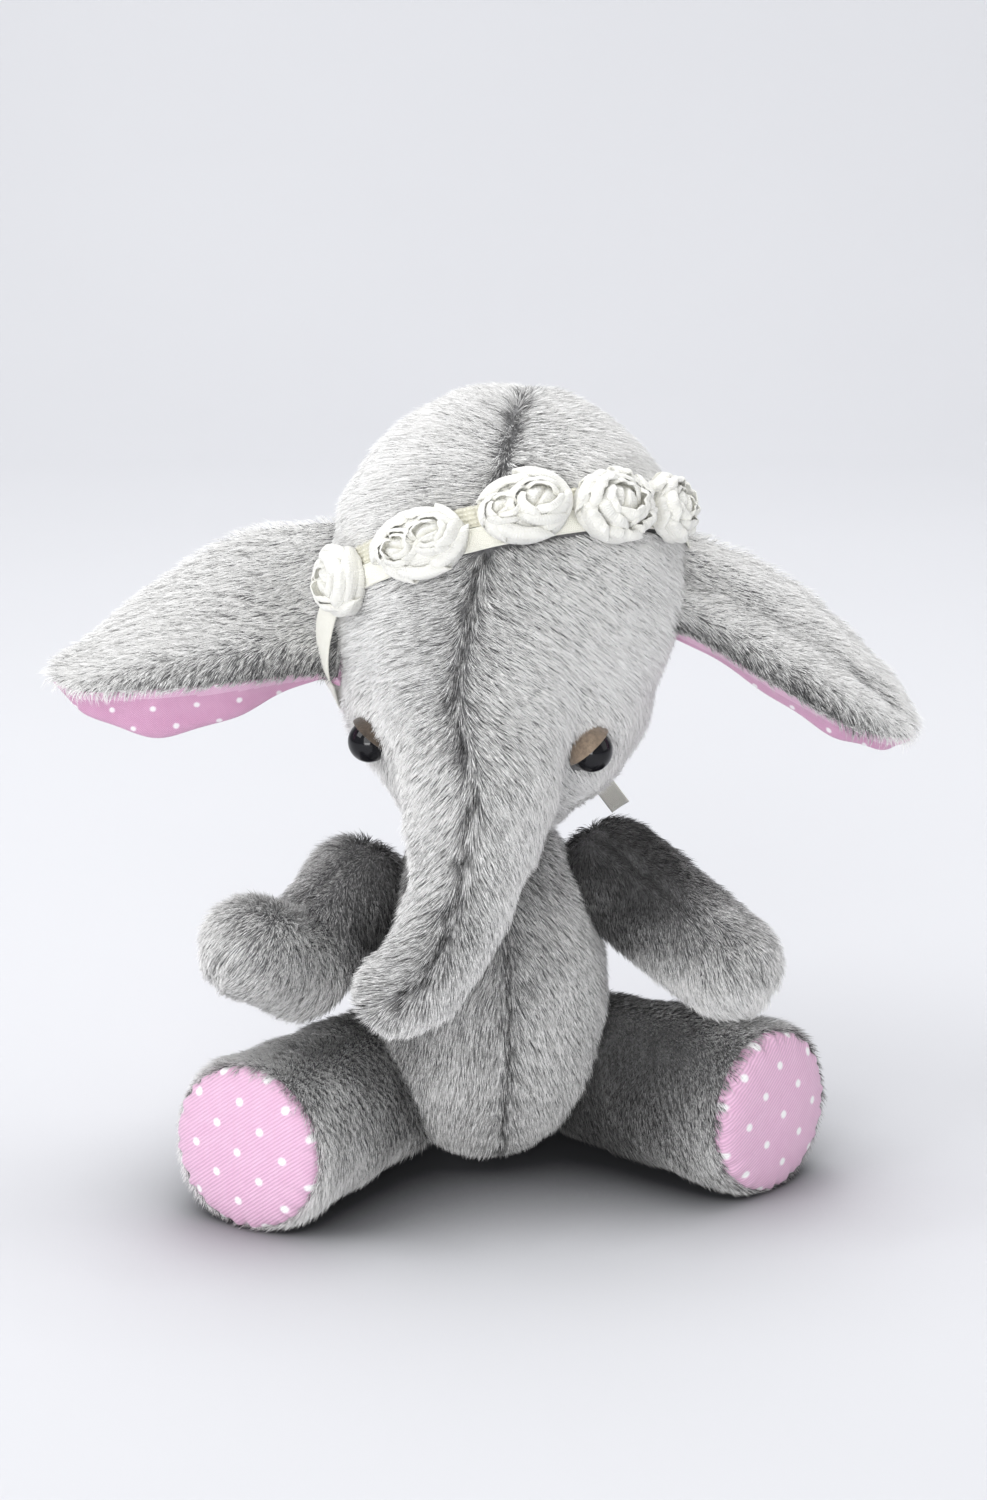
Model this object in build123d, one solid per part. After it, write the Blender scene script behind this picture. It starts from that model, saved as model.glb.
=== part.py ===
from build123d import *
import os
from math import asin, cos, degrees, hypot, radians, sin, sqrt

# A jointed plush elephant that sits on the floor. Millimetres, +Z up, the face looks
# along -Y. The origin is the middle of the flat patch that the body sits on.

# ---- driving dimensions ----------------------------------------------------------
CLOTH = 1.2  # plush backing with the roots of its pile
PAD_CLOTH = 0.8  # cotton of the foot pads
GAP = 0.15  # between two pieces of the same body
JOINT_GAP = 0.5  # between the flat faces of a disc joint
BIG = 400.0

BODY_PROFILE = [  # radius and height of the egg-shaped body
    (14.5, 5.5),
    (21.5, 13.0),
    (27.0, 26.0),
    (29.5, 42.0),
    (28.0, 57.0),
    (24.0, 70.0),
    (18.5, 80.0),
]
BODY_SEAT_R = 6.5
BODY_TOP = (12.0, 87.0)
BODY_YAW = 7.0  # the belly seam's turn about Z
BODY_SEAM = (2.0, 0.0, 0.0)  # a point of the seam

CRANIUM = (5.0, 2.0, 150.0)
CRANIUM_R = 43.0
CRANIUM_HALF_HEIGHT = 47.5
HEAD_YAW = -9.0
HEAD_ROLL = 8.7
HEAD_SEAM = (3.0, 2.0, 150.0)  # a point of the seam
CHEEKS = ((3.0, 1.0, 127.0), 38.0)
JAW = ((1.0, -2.0, 114.5), 29.0)
TRUNK = [  # centre and radius of the trunk's round sections, root first
    ((-0.5, -16.0, 142.0), 29.0),
    ((-1.0, -32.0, 123.0), 20.0),
    ((-1.5, -41.0, 108.5), 17.2),
    ((-3.0, -46.0, 96.5), 13.6),
    ((-5.5, -48.5, 84.5), 11.3),
    ((-10.0, -49.5, 72.5), 10.3),
    ((-16.0, -48.5, 63.0), 10.2),
    ((-20.5, -47.5, 59.0), 9.8),
]
NECK_Z = 87.0

EYE_R = 5.3
EYE_LIFT = 0.8  # the dome's middle, off the cloth
SHANK_R = 1.5
SHANK_LENGTH = 8.0
EYE_WASHER = (-6.5, -5.4)  # where it sits on the shank
EYE_WASHER_R = 5.0
LID_CLEAR = 0.2
LID_THICK = 0.9
LID_EDGE = 1.2  # how high the lid's edge is over the middle of the eye
LID_SLANT = 0.45  # the edge drops towards the outside of the face
EYE_PLACES = {"left": (-28.1, -16.3, 113.8), "right": (25.4, -26.9, 114.5)}
EYE_NORMALS = {"left": (-0.82, -0.54, -0.18), "right": (0.64, -0.75, -0.18)}

ARM_LEFT = [
    ((-33.0, -3.0, 70.0), 12.6),
    ((-46.0, -26.0, 59.0), 12.0),
    ((-57.0, -43.0, 68.5), 11.6),
]
ARM_RIGHT = [((32.5, 3.0, 73.0), 12.8), ((60.5, -19.5, 56.5), 12.2)]
LEG_LEFT = [((-30.0, -5.0, 17.8), 18.0), ((-58.0, -52.0, 20.4), 20.6)]
LEG_RIGHT = [((31.0, 8.5, 17.8), 18.0), ((71.0, -28.0, 20.4), 20.6)]
ARM_SEAM = 2.0  # how far outside the arm's middle line its seam runs
PAD_CROWN = 4.0  # how far the foot pad swells past the sole
TAIL = ((-2.2, 28.6, 27.0), 3.4), ((-3.4, 41.5, 14.0), 2.4)

# disc joints: centre on the body's flat patch, axis pointing out of the body
JOINTS = {
    "neck": dict(at=(0.0, 0.0, NECK_Z), axis=(0.0, 0.0, 1.0), disc=8.5),
    "shoulder_left": dict(at=(-23.0, -1.6, 66.4), axis=(-0.93, -0.05, 0.37), disc=6.0),
    "shoulder_right": dict(at=(22.4, 1.8, 68.2), axis=(0.93, 0.07, 0.37), disc=6.0),
    "hip_left": dict(at=(-21.2, -2.8, 21.4), axis=(-0.932, -0.12, -0.34), disc=9.0),
    "hip_right": dict(at=(20.6, 5.8, 21.4), axis=(0.905, 0.25, -0.34), disc=9.0),
}
PIN_R = 1.5
DISC_THICK = 1.6
WASHER_R = 4.0
WASHER_THICK = 0.7
PIN_HEAD_R = 3.2
PIN_HEAD_THICK = 1.1
CURL_R = 1.2
CURL_LENGTH = 7.0

BAND_WIDTH = 5.5
BAND_THICK = 0.7
BAND_NORMAL = (-0.205, 0.412, 0.8875)
BAND_POINT = (8.0, -36.5, 171.0)
RIBBON_ENDS = -9.0  # the front ribbon stops here in Y, beside the ears
NET_WIDTH = 5.3
NET_ENDS = -12.0
TIE_NORMAL = (-0.351, 0.708, 0.612)
TIE_ENDS = 13.0  # the rear ribbon starts here in Y, behind the ears
KNOT_WAY = (0.18, 0.62, -0.72)  # from the middle of the cranium to the knot at the nape
KNOT_R = 4.0
STREAMERS = [((3.0, 2.0, -22.0), 27.0), ((20.0, 1.0, -29.0), 36.0)]  # way down, length
ROSES = [  # place on the head above the ribbon, outer radius, height
    ((-34.0, -22.0, 155.6), 9.2, 8.0),
    ((-14.5, -36.0, 167.7), 10.5, 8.5),
    ((9.5, -38.0, 177.1), 10.8, 8.5),
    ((31.6, -32.0, 177.0), 10.5, 8.5),
    ((46.0, -16.0, 172.8), 9.2, 8.0),
]


# ---- geometry helpers ------------------------------------------------------------
def add(p, q, k=1.0):
    return tuple(a + k * b for a, b in zip(p, q))


def unit(v):
    size = sqrt(sum(a * a for a in v))
    return tuple(a / size for a in v)


def toward(origin, direction):
    return Plane(origin=origin, z_dir=unit(direction)).location


def hull(start, r0, end, r1):
    """The round-ended cone around two balls, as one revolved solid."""
    axis = add(end, start, -1)
    length = sqrt(sum(a * a for a in axis))
    tilt = asin((r0 - r1) / length)
    side = cos(tilt)
    t0, t1 = (r0 * side, r0 * sin(tilt)), (r1 * side, length + r1 * sin(tilt))
    low, high = radians((degrees(tilt) - 90) / 2), radians((degrees(tilt) + 90) / 2)
    edges = [
        ThreePointArc((0, -r0), (r0 * cos(low), r0 * sin(low)), t0),
        Line(t0, t1),
        ThreePointArc(t1, (r1 * cos(high), length + r1 * sin(high)), (0, length + r1)),
        Line((0, length + r1), (0, -r0)),
    ]
    face = Plane.XZ * make_face(edges)
    return toward(start, axis) * revolve(face, Axis.Z)


def chain(sections, shrink):
    """A bent tube of hulls. Each starts a hair smaller, so no two round faces coincide."""
    solid = None
    for (p, r), (q, s) in zip(sections, sections[1:]):
        start = r - shrink if solid is None else r - shrink - 0.04
        piece = hull(p, start, q, s - shrink)
        solid = piece if solid is None else solid + piece
    return solid


def beyond(point, direction, distance=0.0):
    """A huge box on the far side of a plane, to cut with."""
    return toward(add(point, unit(direction), distance), direction) * Box(
        BIG, BIG, BIG, align=(Align.CENTER, Align.CENTER, Align.MIN)
    )


def rod(point, direction, near, far, radius):
    """A cylinder along a direction, between two distances from a point."""
    place = toward(add(point, unit(direction), near), direction)
    return place * Cylinder(radius, far - near, align=(Align.CENTER, Align.CENTER, Align.MIN))


def halves(shell, point, normal):
    """The two panels of a cover that meet in a seam in one plane."""
    clear = GAP / 2
    back = (-normal[0], -normal[1], -normal[2])
    return shell - beyond(point, normal, -clear), shell - beyond(point, back, -clear)


parts = {}


def keep(name, shape):
    solids = shape.solids()
    shape = max(solids, key=lambda s: s.volume) if len(solids) > 1 else solids[0]
    shape.label = name
    parts[name] = shape


# ---- disc joints -----------------------------------------------------------------
def stack(name):
    """Distances along a joint's axis: below zero in the body, above in the limb."""
    inner = -(CLOTH + GAP)
    outer = JOINT_GAP + CLOTH + GAP
    return {
        "body_disc": (inner - DISC_THICK, inner),
        "washer": (inner - DISC_THICK - 0.1 - WASHER_THICK, inner - DISC_THICK - 0.1),
        "curl": inner - DISC_THICK - 0.1 - WASHER_THICK - 0.2 - CURL_R,
        "limb_disc": (outer, outer + DISC_THICK),
        "pin_head": (outer + DISC_THICK + 0.05, outer + DISC_THICK + 0.05 + PIN_HEAD_THICK),
    }


def make_joint(name, limb):
    j, s = JOINTS[name], stack(name)
    at, axis = j["at"], j["axis"]
    hole = rod(at, axis, -BIG / 8, BIG / 8, PIN_R + 0.05)
    disc = rod(at, axis, *s["body_disc"], j["disc"]) - hole
    keep(f"{name}_body_disc", disc)
    keep(f"{name}_washer", rod(at, axis, *s["washer"], WASHER_R) - hole)
    keep(f"{name}_{limb}_disc", rod(at, axis, *s["limb_disc"], j["disc"]) - hole)
    shaft = rod(at, axis, s["curl"], s["pin_head"][1], PIN_R)
    head = rod(at, axis, *s["pin_head"], PIN_HEAD_R)
    curl = toward(add(at, unit(axis), s["curl"]), axis) * Rot(0, 90, 0) * Cylinder(CURL_R, CURL_LENGTH)
    keep(f"{name}_pin", shaft + head + curl)


def body_side_room(name):
    """The space that a joint's discs, washer and pin take inside the body stuffing."""
    j, s = JOINTS[name], stack(name)
    wide = rod(j["at"], j["axis"], s["washer"][0] - 0.1, 1.0, j["disc"] + 0.3)
    deep = rod(j["at"], j["axis"], s["curl"] - CURL_R - 0.4, 0.0, CURL_LENGTH / 2 + 0.9)
    return wide + deep


def limb_side_room(name):
    j, s = JOINTS[name], stack(name)
    wide = rod(j["at"], j["axis"], -1.0, s["limb_disc"][1] + 0.1, j["disc"] + 0.3)
    deep = rod(j["at"], j["axis"], 0.0, s["pin_head"][1] + 0.3, PIN_HEAD_R + 0.4)
    return wide + deep


def pin_hole(name, radius=PIN_R + 0.35):
    return rod(JOINTS[name]["at"], JOINTS[name]["axis"], -8, 8, radius)


# ---- body ------------------------------------------------------------------------
def body_form(shrink):
    """The egg with a flat seat, and a flat patch at each disc joint."""
    outline = [(BODY_SEAT_R, 0.0)] + BODY_PROFILE + [BODY_TOP]
    points = []
    for i, (r, z) in enumerate(outline):
        before, after = outline[max(i - 1, 0)], outline[min(i + 1, len(outline) - 1)]
        dr, dz = after[0] - before[0], after[1] - before[1]
        size = hypot(dr, dz)
        points.append((r - shrink * dz / size, z + shrink * dr / size))
    side = Spline(*points)
    low, high = points[0], points[-1]
    edges = [side, Line(high, (0, high[1])), Line((0, high[1]), (0, low[1])), Line((0, low[1]), low)]
    egg = revolve(Plane.XZ * make_face(edges), Axis.Z)
    egg = egg - beyond((0, 0, shrink), (0, 0, -1)) - beyond((0, 0, NECK_Z - shrink), (0, 0, 1))
    for name, j in JOINTS.items():
        if name != "neck":
            egg = egg - beyond(j["at"], j["axis"], -shrink)
    return egg


def make_body():
    shell = body_form(0) - body_form(CLOTH)
    filling = body_form(CLOTH + GAP)
    for name in JOINTS:
        shell = shell - pin_hole(name)
        filling = filling - body_side_room(name)
    turn = radians(BODY_YAW)
    left, right = halves(shell, BODY_SEAM, (cos(turn), sin(turn), 0))
    keep("body_panel_left", left)
    keep("body_panel_right", right)
    keep("body_stuffing", filling)


# ---- head ------------------------------------------------------------------------
HEAD_TURN = Location(CRANIUM) * Rot(0, 0, HEAD_YAW) * Rot(0, HEAD_ROLL, 0)
HEAD_ACROSS = (
    cos(radians(HEAD_ROLL)) * cos(radians(HEAD_YAW)),
    cos(radians(HEAD_ROLL)) * sin(radians(HEAD_YAW)),
    -sin(radians(HEAD_ROLL)),
)


def cranium(shrink):
    """An ellipsoid of revolution about the head's own upright axis."""
    width, height = CRANIUM_R - shrink, CRANIUM_HALF_HEIGHT - shrink
    arc = EllipticalCenterArc((0, 0), width, height, start_angle=-90, arc_size=180)
    face = Plane.XZ * make_face([arc, Line((0, height), (0, -height))])
    return HEAD_TURN * revolve(face, Axis.Z)


def skull(shrink):
    form = cranium(shrink)
    for centre, radius in (CHEEKS, JAW):
        form = form + Pos(*centre) * Sphere(radius - shrink)
    return form


def head_form(shrink):
    return skull(shrink) - beyond((0, 0, NECK_Z + JOINT_GAP + shrink), (0, 0, -1)) + chain(TRUNK, shrink)


def make_head():
    shell = head_form(0) - head_form(CLOTH) - pin_hole("neck")
    filling = head_form(CLOTH + GAP) - limb_side_room("neck")
    for side, place in EYE_PLACES.items():
        shell = shell - rod(place, EYE_NORMALS[side], -12, 6, 1.9)
        filling = filling - rod(place, EYE_NORMALS[side], -9, 8, 6.2)
    left, right = halves(shell, HEAD_SEAM, HEAD_ACROSS)
    keep("head_panel_left", left)
    keep("head_panel_right", right)
    keep("head_stuffing", filling)


def make_eye(side):
    """A glass dome on a shank, held from inside by a lock washer, and a suede lid over it."""
    at, normal = EYE_PLACES[side], EYE_NORMALS[side]
    back = tuple(-a for a in normal)
    middle = add(at, unit(normal), EYE_LIFT)
    dome = toward(middle, normal) * Sphere(EYE_R) - beyond(middle, back)
    keep(f"eye_{side}", dome + rod(at, normal, -SHANK_LENGTH, EYE_LIFT + 1.0, SHANK_R))
    washer = rod(at, normal, *EYE_WASHER, EYE_WASHER_R)
    keep(f"eye_{side}_washer", washer - rod(at, normal, -SHANK_LENGTH, 0, SHANK_R + 0.05))
    inward = -1 if side == "right" else 1
    over = (LID_SLANT * inward, 0.0, 0.9)
    lid = toward(middle, normal) * Sphere(EYE_R + LID_CLEAR + LID_THICK)
    lid = lid - toward(middle, normal) * Sphere(EYE_R + LID_CLEAR)
    lid = lid - beyond(add(middle, unit(normal), 0.1), back)
    keep(f"eyelid_{side}", lid - beyond(add(at, over, LID_EDGE), tuple(-a for a in over)))


# ---- ears ------------------------------------------------------------------------
# Each ear is a row of stations from the root to the tip: the back edge, the front edge,
# how far the plush side rises above the chord, how far the lining sags below the front.
EARS = {
    "left": [
        ((-40.5, 5.0, 164.0), (-44.5, -13.0, 130.0), 2.5, 1.5),
        ((-60.3, 10.0, 160.0), (-61.1, -23.0, 130.5), 3.5, 9.0),
        ((-79.6, 11.0, 149.0), (-81.0, -24.0, 129.0), 3.5, 13.0),
        ((-97.1, 6.0, 135.5), (-98.5, -17.0, 126.5), 2.5, 6.0),
        ((-107.5, -3.0, 130.0), (-107.5, -9.0, 127.5), 1.0, 0.8),
    ],
    "right": [
        ((49.3, 7.0, 161.0), (50.5, -12.0, 139.5), 2.5, 3.0),
        ((67.9, 12.0, 152.0), (68.4, -21.0, 131.0), 3.5, 4.5),
        ((86.1, 13.0, 138.5), (85.0, -22.0, 121.5), 3.5, 6.0),
        ((101.0, 8.0, 125.0), (97.7, -14.0, 114.5), 2.5, 4.0),
        ((108.0, 0.0, 114.5), (106.0, -6.0, 111.5), 1.0, 0.8),
    ],
}
SPLIT = 0.6  # where the two layers meet, as a share of the plush side's rise, below the chord
LAYER_GAP = 0.3
SAG_AT = 0.8  # share of the chord, from the back edge, where the lining hangs lowest


def ear_corners(station):
    """Back edge, front edge, top of the plush, where the layers meet, low line of the lining."""
    back, front, rise, sag = station
    chord = add(front, back, -1)
    size = chord[0] ** 2 + chord[1] ** 2 + chord[2] ** 2
    up = unit(tuple(-chord[2] * c / size + k for c, k in zip(chord, (0.0, 0.0, 1.0))))
    middle, low = add(back, chord, 0.5), add(back, chord, SAG_AT)
    top, meet = add(middle, up, rise), add(middle, up, -SPLIT * rise)
    return back, front, top, meet, (low[0], low[1], front[2] - sag)


def loft_rows(rows):
    wires = [Wire.make_polygon([Vector(*c) for c in row], close=True) for row in rows]
    return Solid.make_loft(wires, ruled=True)


def make_ear(side):
    plush, lining = [], []
    for station in EARS[side]:
        back, front, top, meet, low = ear_corners(station)
        plush.append([back, top, front, meet])
        lower = [add(c, (0, 0, -LAYER_GAP)) for c in (back, meet, front, low)]
        lining.append(lower)
    keep(f"ear_{side}_plush", loft_rows(plush))
    keep(f"ear_{side}_lining", loft_rows(lining))


# ---- headband --------------------------------------------------------------------
def band(near, far, low, high, normal, point):
    """A ring around the head between two distances from the cloth and two heights."""
    ring = skull(-far) - skull(-near)
    return ring - beyond(point, normal, high) - beyond(point, tuple(-a for a in normal), -low)


def make_headband():
    half = BAND_WIDTH / 2
    ribbon = band(0.3, 0.3 + BAND_THICK, -half, half, BAND_NORMAL, BAND_POINT)
    keep("headband_ribbon", ribbon - beyond((0, RIBBON_ENDS, 0), (0, 1, 0)))
    net = band(0.3, 0.7, half + 0.2, half + 0.2 + NET_WIDTH, BAND_NORMAL, BAND_POINT)
    keep("headband_net", net - beyond((0, NET_ENDS, 0), (0, 1, 0)))
    knot_at = on_head(KNOT_WAY, KNOT_R + 0.6)
    tie = band(0.3, 0.3 + BAND_THICK, -half, half, TIE_NORMAL, on_head(KNOT_WAY, 0.0))
    tie = tie - beyond((0, TIE_ENDS, 0), (0, -1, 0)) - (Pos(*knot_at) * Sphere(KNOT_R + GAP))
    keep("headband_tie", tie)
    knot = Pos(*knot_at) * Sphere(KNOT_R)
    for way, length in STREAMERS:
        place = Plane(origin=knot_at, z_dir=unit(way), x_dir=(1, 0, 0.3)).location
        knot = knot + place * Box(
            BAND_WIDTH, BAND_THICK, length, align=(Align.CENTER, Align.CENTER, Align.MIN)
        )
    keep("headband_knot", knot)


def on_head(way, lift):
    """The point where a line from the middle of the cranium leaves the head, and lift further."""
    way = unit(way)
    x, y, z = (HEAD_TURN.inverse() * Location(add(CRANIUM, way))).position
    reach = 1 / sqrt((x * x + y * y) / CRANIUM_R**2 + z * z / CRANIUM_HALF_HEIGHT**2)
    for centre, radius in (CHEEKS, JAW):
        offset = add(centre, CRANIUM, -1)
        along = sum(a * b for a, b in zip(offset, way))
        room = radius**2 - sum(a * a for a in offset) + along**2
        if room > 0:
            reach = max(reach, along + sqrt(room))
    return add(CRANIUM, way, reach + lift)


def make_rose(number, place, radius, height):
    """A flat-backed rosette: a wide ring of petals and a domed bud on a round base."""
    way = add(place, CRANIUM, -1)
    petals = Cone(radius, radius * 0.86, height * 0.62, align=(Align.CENTER, Align.CENTER, Align.MIN))
    bud = Pos(0, 0, height * 0.30) * Sphere(radius * 0.62)
    bud = bud - beyond((0, 0, 0), (0, 0, -1))
    keep(f"rose_{number}", toward(on_head(way, 1.9), way) * (petals + bud))


# ---- arms and legs ---------------------------------------------------------------
def limb_form(sections, name, shrink):
    j = JOINTS[name]
    away = tuple(-a for a in j["axis"])
    return chain(sections, shrink) - beyond(add(j["at"], unit(j["axis"]), JOINT_GAP + shrink), away)


def make_arm(side, sections, name):
    """An inner and an outer panel around the stuffing."""
    shell = limb_form(sections, name, 0) - limb_form(sections, name, CLOTH) - pin_hole(name)
    axis = unit(JOINTS[name]["axis"])
    length_way = unit(add(sections[-1][0], sections[0][0], -1))
    lean = sum(a * b for a, b in zip(axis, length_way))
    across = unit(add(axis, length_way, -lean))
    inner, outer = halves(shell, add(sections[0][0], across, ARM_SEAM), across)
    keep(f"arm_{side}_inner_panel", inner)
    keep(f"arm_{side}_outer_panel", outer)
    keep(f"arm_{side}_stuffing", limb_form(sections, name, CLOTH + GAP) - limb_side_room(name))


def leg_form(sections, name, shrink):
    """A round-ended cone cut off square at the sole."""
    (hip, r0), (foot, r1) = sections
    way = unit(add(foot, hip, -1))
    long = [(hip, r0), (add(foot, way, r1), r1)]
    form = limb_form(long, name, shrink) - beyond(foot, way, -shrink)
    return form - beyond((0, 0, shrink), (0, 0, -1))


def make_leg(side, sections, name):
    """A plush tube with a crowned cotton pad for its sole."""
    foot, r1 = sections[1]
    way = unit(add(foot, sections[0][0], -1))
    shell = leg_form(sections, name, 0) - leg_form(sections, name, CLOTH) - pin_hole(name)
    opening = rod(foot, way, -CLOTH - 0.5, 1.0, r1 - CLOTH - 0.2)
    keep(f"leg_{side}_cover", shell - opening)
    rim = r1 - 0.6
    ball_r = (rim * rim + PAD_CROWN * PAD_CROWN) / (2 * PAD_CROWN)
    centre = add(foot, way, PAD_CROWN + 0.2 - ball_r)
    cap = Pos(*centre) * Sphere(ball_r) - beyond(add(foot, way, 0.2), tuple(-a for a in way))
    cap = cap - beyond((0, 0, 0.3), (0, 0, -1))
    inner = Pos(*centre) * Sphere(ball_r - PAD_CLOTH)
    keep(f"leg_{side}_foot_pad", cap - inner)
    filling = leg_form(sections, name, CLOTH + GAP) - limb_side_room(name)
    plug = Pos(*centre) * Sphere(ball_r - PAD_CLOTH - GAP)
    plug = plug & rod(foot, way, -CLOTH - 2.0, PAD_CROWN + 1, r1 - CLOTH - 1.5)
    keep(f"leg_{side}_stuffing", filling + plug)


def make_tail():
    """A short plush tail sewn to the back of the body."""
    root, tip = TAIL
    keep("tail", hull(*root, *tip) - body_form(-GAP))


# ---- build -----------------------------------------------------------------------
make_body()
make_head()
for side in ("left", "right"):
    make_eye(side)
    make_ear(side)
make_headband()
for number, (place, radius, height) in enumerate(ROSES, start=1):
    make_rose(number, place, radius, height)
make_arm("left", ARM_LEFT, "shoulder_left")
make_arm("right", ARM_RIGHT, "shoulder_right")
make_leg("left", LEG_LEFT, "hip_left")
make_leg("right", LEG_RIGHT, "hip_right")
make_tail()
make_joint("neck", "head")
for side in ("left", "right"):
    make_joint(f"shoulder_{side}", "arm")
    make_joint(f"hip_{side}", "leg")

os.makedirs("parts", exist_ok=True)
for name, shape in parts.items():
    export_step(shape, f"parts/{name}.step")
print(len(parts), "nodes")
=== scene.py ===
import math
import bmesh
import bpy
import numpy as np
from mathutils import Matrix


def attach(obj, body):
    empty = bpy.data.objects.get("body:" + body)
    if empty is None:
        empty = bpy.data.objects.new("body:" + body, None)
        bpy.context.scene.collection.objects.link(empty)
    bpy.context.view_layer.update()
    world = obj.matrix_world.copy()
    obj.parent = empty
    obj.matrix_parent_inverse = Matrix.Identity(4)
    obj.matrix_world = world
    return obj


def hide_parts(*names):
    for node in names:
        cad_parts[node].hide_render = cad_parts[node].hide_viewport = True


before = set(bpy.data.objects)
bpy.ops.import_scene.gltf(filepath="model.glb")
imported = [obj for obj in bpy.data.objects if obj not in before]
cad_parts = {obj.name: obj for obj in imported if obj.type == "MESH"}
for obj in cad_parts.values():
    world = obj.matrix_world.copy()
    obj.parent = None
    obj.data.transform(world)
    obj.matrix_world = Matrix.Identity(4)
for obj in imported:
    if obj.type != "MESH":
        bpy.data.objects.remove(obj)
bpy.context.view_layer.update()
scene = bpy.context.scene
MM = 0.001


# ---- camera ----
# All lengths below are millimetres and are turned to metres as each mesh is made.
AIM = (2.0, -8.0, 108.9)
CAMERA_FAR = 900.0
CAMERA_UP = 16.0
SENSOR = 36.0
LENS = 86.4

camera_data = bpy.data.cameras.new("camera")
camera_data.sensor_fit = "VERTICAL"
camera_data.sensor_height = SENSOR
camera_data.lens = LENS
camera_data.clip_start = 0.01
camera_data.clip_end = 20.0
camera = bpy.data.objects.new("camera", camera_data)
rise = math.radians(CAMERA_UP)
camera.location = (
    AIM[0] * MM,
    (AIM[1] - CAMERA_FAR * math.cos(rise)) * MM,
    (AIM[2] + CAMERA_FAR * math.sin(rise)) * MM,
)
camera.rotation_euler = (math.radians(90 - CAMERA_UP), 0, 0)
scene.collection.objects.link(camera)
scene.camera = camera
scene.view_settings.view_transform = "Standard"


# ---- small helpers ----
def unit(v):
    v = np.asarray(v, float)
    return v / np.linalg.norm(v)


def units(v):
    return v / np.maximum(np.linalg.norm(v, axis=-1, keepdims=True), 1e-9)


def smooth_line(points, count):
    """A Catmull-Rom line through the points, sampled evenly in its parameter."""
    p = np.array(points, float)
    if p.ndim == 1:
        p = p[:, None]
    p = np.vstack([2 * p[0] - p[1], p, 2 * p[-1] - p[-2]])
    t = np.linspace(0, len(p) - 3 - 1e-9, count)
    i = t.astype(int)
    f = (t - i)[:, None]
    a, b, c, d = p[i], p[i + 1], p[i + 2], p[i + 3]
    return 0.5 * (2 * b + (c - a) * f + (2 * a - 5 * b + 4 * c - d) * f**2 + (3 * b - 3 * c + d - a) * f**3)


def step(x, low, high):
    """0 below low, 1 above high, smooth between."""
    t = np.clip((np.asarray(x, float) - low) / (high - low), 0, 1)
    return t * t * (3 - 2 * t)


def hump(x, width):
    """A bell curve: 1 at 0, dying away over the width."""
    return np.exp(-((x / width) ** 2))


def wobble(p, scale, seed):
    """Smooth random vectors over space, about unit size, changing over scale millimetres."""
    r = np.random.default_rng(seed)
    k = r.normal(size=(10, 3)) / scale
    phase = r.uniform(0, 2 * np.pi, 10)
    ways = r.normal(size=(10, 3))
    return np.sin(p @ k.T + phase) @ ways / 2.3


def frame_of(axis, hint=(0, 0, 1)):
    """Three unit vectors: across, along the hint as far as it is square to the axis, and the axis."""
    axis = unit(axis)
    across = unit(np.cross(hint, axis))
    return across, np.cross(axis, across), axis


def new_object(name, co, faces, materials, layer=None):
    """A mesh object from points in millimetres. layer holds two measures that place them in the weave."""
    mesh = bpy.data.meshes.new(name)
    co = np.reshape(co, (-1, 3)).astype(float) * MM
    mesh.from_pydata(co.tolist(), [], [tuple(int(i) for i in f) for f in faces])
    mesh.update()
    if layer is not None:
        attribute = mesh.attributes.new("weave", "FLOAT_VECTOR", "POINT")
        flat = np.zeros((len(co), 3), np.float32)
        flat[:, :2] = np.stack(np.broadcast_arrays(*layer), -1).reshape(-1, 2)
        attribute.data.foreach_set("vector", flat.ravel())
    for material in materials:
        mesh.materials.append(material)
    mesh.polygons.foreach_set("use_smooth", [True] * len(mesh.polygons))
    thing = bpy.data.objects.new(name, mesh)
    scene.collection.objects.link(thing)
    return thing


def grid_faces(rows, cols, around=False):
    """Quads over a rows by cols grid. With around, the last column joins the first."""
    faces = []
    last = cols if around else cols - 1
    for i in range(rows - 1):
        for j in range(last):
            k = (j + 1) % cols
            near, far = i * cols, (i + 1) * cols
            faces.append((near + j, near + k, far + k, far + j))
    return faces


def tube_faces(rows, cols):
    """Quads round a tube of rows rings, and one face over each end."""
    ends = [tuple(range(cols))[::-1], tuple((rows - 1) * cols + i for i in range(cols))]
    return grid_faces(rows, cols, around=True) + ends


def baked_down(thing):
    """Applies an object's modifiers."""
    graph = bpy.context.evaluated_depsgraph_get()
    mesh = bpy.data.meshes.new_from_object(thing.evaluated_get(graph))
    old = thing.data
    thing.modifiers.clear()
    thing.data = mesh
    mesh.name = thing.name
    bpy.data.meshes.remove(old)
    return thing


def thicken(thing, thickness, offset):
    solid = thing.modifiers.new("thick", "SOLIDIFY")
    solid.thickness = thickness * MM
    solid.offset = offset
    return baked_down(thing)


def outward(thing, merge=None):
    """Turns every face outwards, after joining points closer than merge metres."""
    bm = bmesh.new()
    bm.from_mesh(thing.data)
    if merge:
        bmesh.ops.remove_doubles(bm, verts=bm.verts, dist=merge)
    bmesh.ops.recalc_face_normals(bm, faces=bm.faces)
    bm.to_mesh(thing.data)
    bm.free()


def points_of(thing):
    co = np.empty(len(thing.data.vertices) * 3)
    thing.data.vertices.foreach_get("co", co)
    return co.reshape(-1, 3) / MM


def set_points(thing, co):
    thing.data.vertices.foreach_set("co", (np.asarray(co, float) * MM).ravel())
    thing.data.update()


def join(thing, body, slot, *nodes, fill=None):
    """Puts a piece on its body and hides the CAD nodes it stands for. The slot is not used."""
    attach(thing, body)
    if nodes:
        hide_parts(*nodes)


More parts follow.
